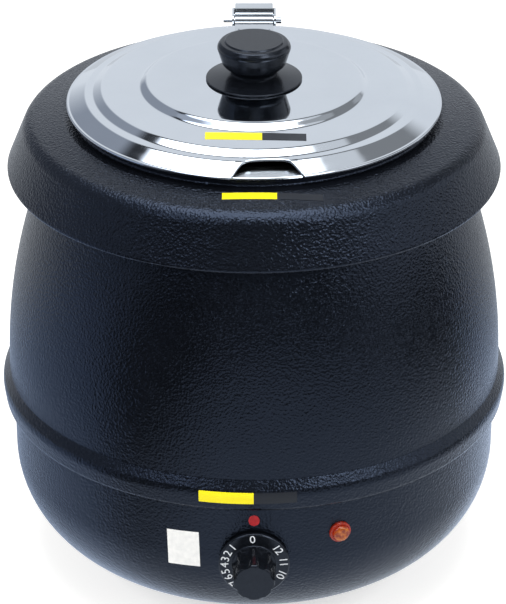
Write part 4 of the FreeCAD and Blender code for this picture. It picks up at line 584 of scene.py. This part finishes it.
def make_films():
    """Two-colour strips, a plain white label and the red index spot over the dial."""
    for name, place, across, along, edge, body in (
            ("lid_strip", on_lid, (-30.7, 32.6), (-86.0, -76.0), 5.0, "lid"),
            ("collar_strip", on_collar, (-19.7, 42.4), (-132.2, -126.0), 14.0, "collar"),
            ("band_strip", on_band, (-11.9, 9.2), (124.8, 133.0), -0.3, "base")):
        film(name, place, across, along, strip_film(name, edge), body, "moulding")
    film("bowl_label", leaning_label, (-19.9, -12.4), (71, 96.7), label_film, "base", "moulding")
    film("index_mark", index_drop, (-INDEX_HALF_TURN, INDEX_HALF_TURN),
         (INDEX_Z - INDEX_HALF_HEIGHT, INDEX_Z + INDEX_HALF_HEIGHT), index_ink, "base", "moulding")


def floor_finish():
    """Matt white paper sweep: pale ground that keeps a soft shadow and shows white to the camera. Mirror
    rays find painted light on it: a painted lit patch behind and to the left of the kettle, a soft oval pool
    of painted light in front, a faint painted glow close round the kettle, and dark between."""
    finish, tree, place = new_finish("paper_sweep_matt_white")
    light = add(tree, "ShaderNodeLightPath").outputs
    fibre = add(tree, "ShaderNodeTexNoise", {"Vector": place, "Scale": per_mm(2.0)})
    tone = add(tree, "ShaderNodeValToRGB", {"Fac": fibre.outputs["Fac"]}, [(0, "#ecebe9"), (1, "#f1f0ee")])
    matt = add(tree, "ShaderNodeBsdfDiffuse", {"Color": tone.outputs["Color"]})
    glow = add(tree, "ShaderNodeEmission", {"Strength": 0.55})
    white = add(tree, "ShaderNodeAddShader", {0: matt.outputs[0], 1: glow.outputs[0]})
    # Painted light for mirror rays only: emission patches behind, a pool in front and a glow close round the
    # kettle
    aside = add(tree, "ShaderNodeVectorMath", {0: place, 1: (-0.35, 0.94, 0)}, operation="DOT_PRODUCT")
    lit = add(tree, "ShaderNodeMapRange", {"Value": aside.outputs["Value"], "From Min": -0.13,
                                           "From Max": -0.04, "To Min": 0.0, "To Max": 0.8}, **SOFT)
    depth = add(tree, "ShaderNodeSeparateXYZ", {"Vector": place}).outputs["Y"]
    far = add(tree, "ShaderNodeMapRange", {"Value": depth, "From Min": 0.2, "From Max": 0.45})
    tint = add(tree, "ShaderNodeMixRGB", {"Fac": far.outputs["Result"], "Color1": linear("#b9d0f5"),
                                          "Color2": linear("#e2e8f0")})
    behind = add(tree, "ShaderNodeEmission", {"Color": tint.outputs[0], "Strength": lit.outputs["Result"]})
    squeezed = add(tree, "ShaderNodeMapping", {"Vector": place, "Location": (-0.35, 0.75, 0),
                                               "Scale": (1.3, 0.6, 1)})
    oval = add(tree, "ShaderNodeVectorMath", {0: squeezed.outputs["Vector"]}, operation="LENGTH")
    pool = add(tree, "ShaderNodeMapRange", {"Value": oval.outputs["Value"], "From Min": 0.7, "From Max": 1.0,
                                            "To Min": 0.9, "To Max": 0.02}, **SOFT)
    reach = add(tree, "ShaderNodeVectorMath", {0: place}, operation="LENGTH")
    near = add(tree, "ShaderNodeMapRange", {"Value": reach.outputs["Value"], "From Min": 0.25,
                                            "From Max": 0.45, "To Min": 0.2, "To Max": 0.0}, **SOFT)
    both = add(tree, "ShaderNodeMath", {0: pool.outputs["Result"], 1: near.outputs["Result"]},
               operation="ADD")
    front = add(tree, "ShaderNodeEmission", {"Color": linear("#dfe8f4"), "Strength": both.outputs[0]})
    mirrored = add(tree, "ShaderNodeAddShader", {0: behind.outputs[0], 1: front.outputs[0]})
    seen = add(tree, "ShaderNodeMixShader", {"Fac": light["Is Camera Ray"], 1: matt.outputs[0],
                                             2: white.outputs[0]})
    shader = add(tree, "ShaderNodeMixShader", {"Fac": light["Is Glossy Ray"], 1: seen.outputs[0],
                                               2: mirrored.outputs[0]})
    add(tree, "ShaderNodeOutputMaterial", {"Surface": shader.outputs[0]})
    return finish


def make_floor():
    """Floor far wider than the view, as staging."""
    half = 6.0
    mesh = bpy.data.meshes.new("floor")
    mesh.from_pydata([(-half, -half, 0), (half, -half, 0), (half, half, 0), (-half, half, 0)], [],
                     [(0, 1, 2, 3)])
    mesh.materials.append(floor_finish())
    floor = bpy.data.objects.new("floor", mesh)
    bpy.context.scene.collection.objects.link(floor)


def make_world():
    """World: white all round for the camera and grey for scattered light. Mirror rays find a room: walls
    that are dark at the floor, grey a little higher and dim above, pale at both sides, and on them the
    pale fields listed here, the back wall and the light boxes. The brightest at a place counts."""
    world = bpy.data.worlds.new("studio")
    bpy.context.scene.world = world
    world.use_nodes = True
    tree = world.node_tree
    tree.nodes.clear()
    light = add(tree, "ShaderNodeLightPath").outputs
    way = add(tree, "ShaderNodeTexCoord").outputs["Generated"]
    height = add(tree, "ShaderNodeSeparateXYZ", {"Vector": way}).outputs["Z"]
    side = add(tree, "ShaderNodeSeparateXYZ", {"Vector": way}).outputs["X"]
    away = add(tree, "ShaderNodeMath", {0: side}, operation="ABSOLUTE")
    rise = add(tree, "ShaderNodeMapRange", {"Value": height, "From Min": 0.22, "From Max": 0.32,
                                            "To Min": 0.02, "To Max": 0.45}, **SOFT)
    flank = add(tree, "ShaderNodeMapRange", {"Value": away.outputs[0], "From Min": 0.7, "From Max": 0.85,
                                             "To Max": 0.9}, **SOFT)
    fall = add(tree, "ShaderNodeMapRange", {"Value": height, "From Min": 0.42, "From Max": 0.52,
                                            "To Min": 1.0, "To Max": 0.2}, **SOFT)
    walls = add(tree, "ShaderNodeMath", {0: rise.outputs["Result"], 1: flank.outputs["Result"]},
                operation="MAXIMUM")
    glow = add(tree, "ShaderNodeMath", {0: walls.outputs[0], 1: fall.outputs["Result"]},
               operation="MULTIPLY")
    back_wall = add(tree, "ShaderNodeMapRange", {"Value": height, "From Min": 0.72, "From Max": 0.79,
                                                 "To Min": 0.91, "To Max": 0.0}, **SOFT).outputs["Result"]
    # Direction of a field's middle, dot products where it starts and where it is full, brightness
    fields = [((-0.574, 0.819, 0.0), 0.18, 0.34, back_wall),      # back wall, turned to the left
              ((0.0, -0.087, 0.996), 0.88, 0.92, 4.5),            # box overhead
              ((-0.24, 0.12, 0.963), 0.93, 0.95, 4.5),            # its left wing
              ((0.24, 0.12, 0.963), 0.93, 0.95, 0.8),             # its right wing, dimmer
              ((0.55, 0.5, 0.67), 0.9, 0.97, 0.28),               # dim ceiling, behind on the right
              ((-0.6, 0.0, 0.8), 0.95, 0.98, 1.2),                # box high on the left
              ((0.62, 0.02, 0.785), 0.95, 0.98, 0.45),            # box high on the right, dimmer
              ((0.765, -0.407, 0.5), 0.95, 0.985, 1.5),           # box at the right
              ((-0.492, -0.587, 0.643), 0.97, 0.985, 5.0),        # box in front on the left
              ((0.492, -0.587, 0.643), 0.97, 0.985, 5.0)]         # box in front on the right
    for middle, start, full, bright in fields:
        facing = add(tree, "ShaderNodeVectorMath", {0: way, 1: middle}, operation="DOT_PRODUCT")
        field = add(tree, "ShaderNodeMapRange", {"Value": facing.outputs["Value"], "From Min": start,
                                                 "From Max": full, "To Max": bright}, **SOFT)
        glow = add(tree, "ShaderNodeMath", {0: glow.outputs[0], 1: field.outputs["Result"]},
                   operation="MAXIMUM")
    left = add(tree, "ShaderNodeMapRange", {"Value": side, "From Min": -0.3, "From Max": -0.45})
    tint = add(tree, "ShaderNodeMixRGB", {"Fac": left.outputs["Result"], "Color1": linear("#eef4fc"),
                                          "Color2": linear("#9aa2b0")})
    room = add(tree, "ShaderNodeMixRGB", {"Fac": 1.0, "Color1": glow.outputs[0], "Color2": tint.outputs[0]},
               blend_type="MULTIPLY")
    mirrored = add(tree, "ShaderNodeMath", {0: light["Is Glossy Ray"], 1: light["Is Transmission Ray"]},
                   operation="ADD", use_clamp=True)
    other = add(tree, "ShaderNodeMixRGB", {"Fac": mirrored.outputs[0], "Color1": (0.4, 0.4, 0.4, 1),
                                           "Color2": room.outputs[0]})
    seen = add(tree, "ShaderNodeMixRGB", {"Fac": light["Is Camera Ray"], "Color1": other.outputs[0],
                                          "Color2": (1, 1, 1, 1)})
    sky = add(tree, "ShaderNodeBackground", {"Color": seen.outputs[0]})
    add(tree, "ShaderNodeOutputWorld", {"Surface": sky.outputs[0]})


def make_lamps():
    """Three soft boxes, left, right and overhead, hidden from mirror rays. Each has its place in metres,
    power in watts, width and length."""
    lamps = [("box_left", (-1.5, -1.0, 1.1), 22, 0.9, 1.3), ("box_right", (1.5, -0.9, 1.1), 20, 0.9, 1.3),
             ("box_over", (0.0, -0.25, 2.0), 18, 1.2, 0.8)]
    for name, place, power, width, length in lamps:
        lamp = bpy.data.lights.new(name, "AREA")
        lamp.energy = power
        lamp.shape = "RECTANGLE"
        lamp.size = width
        lamp.size_y = length
        holder = bpy.data.objects.new(name, lamp)
        aim(holder, place, (0, 0, 0.2))
        holder.visible_glossy = False
        bpy.context.scene.collection.objects.link(holder)


def aim(holder, place, target):
    """Puts a lamp or camera at a place with its -Z towards a target."""
    holder.location = place
    holder.rotation_euler = (Vector(target) - Vector(place)).to_track_quat("-Z", "Y").to_euler()


def make_camera():
    """The photograph's view: from straight in front, 27.88 degrees up, long lens."""
    rise, distance = math.radians(27.88), 1.9825
    target = (-0.0007, 0.0, 0.1795)
    view = bpy.data.cameras.new("camera")
    view.sensor_width = 36.0
    view.lens = 175.3
    holder = bpy.data.objects.new("camera", view)
    aim(holder, (target[0], -distance * math.cos(rise), target[2] + distance * math.sin(rise)), target)
    bpy.context.scene.collection.objects.link(holder)
    bpy.context.scene.camera = holder


for make in (make_barrel, make_collar, make_pot, make_lid, make_lid_knob, make_dial, make_numerals,
             make_lens, make_films, make_floor, make_world, make_lamps, make_camera):
    make()
bpy.context.scene.view_settings.view_transform = "Standard"
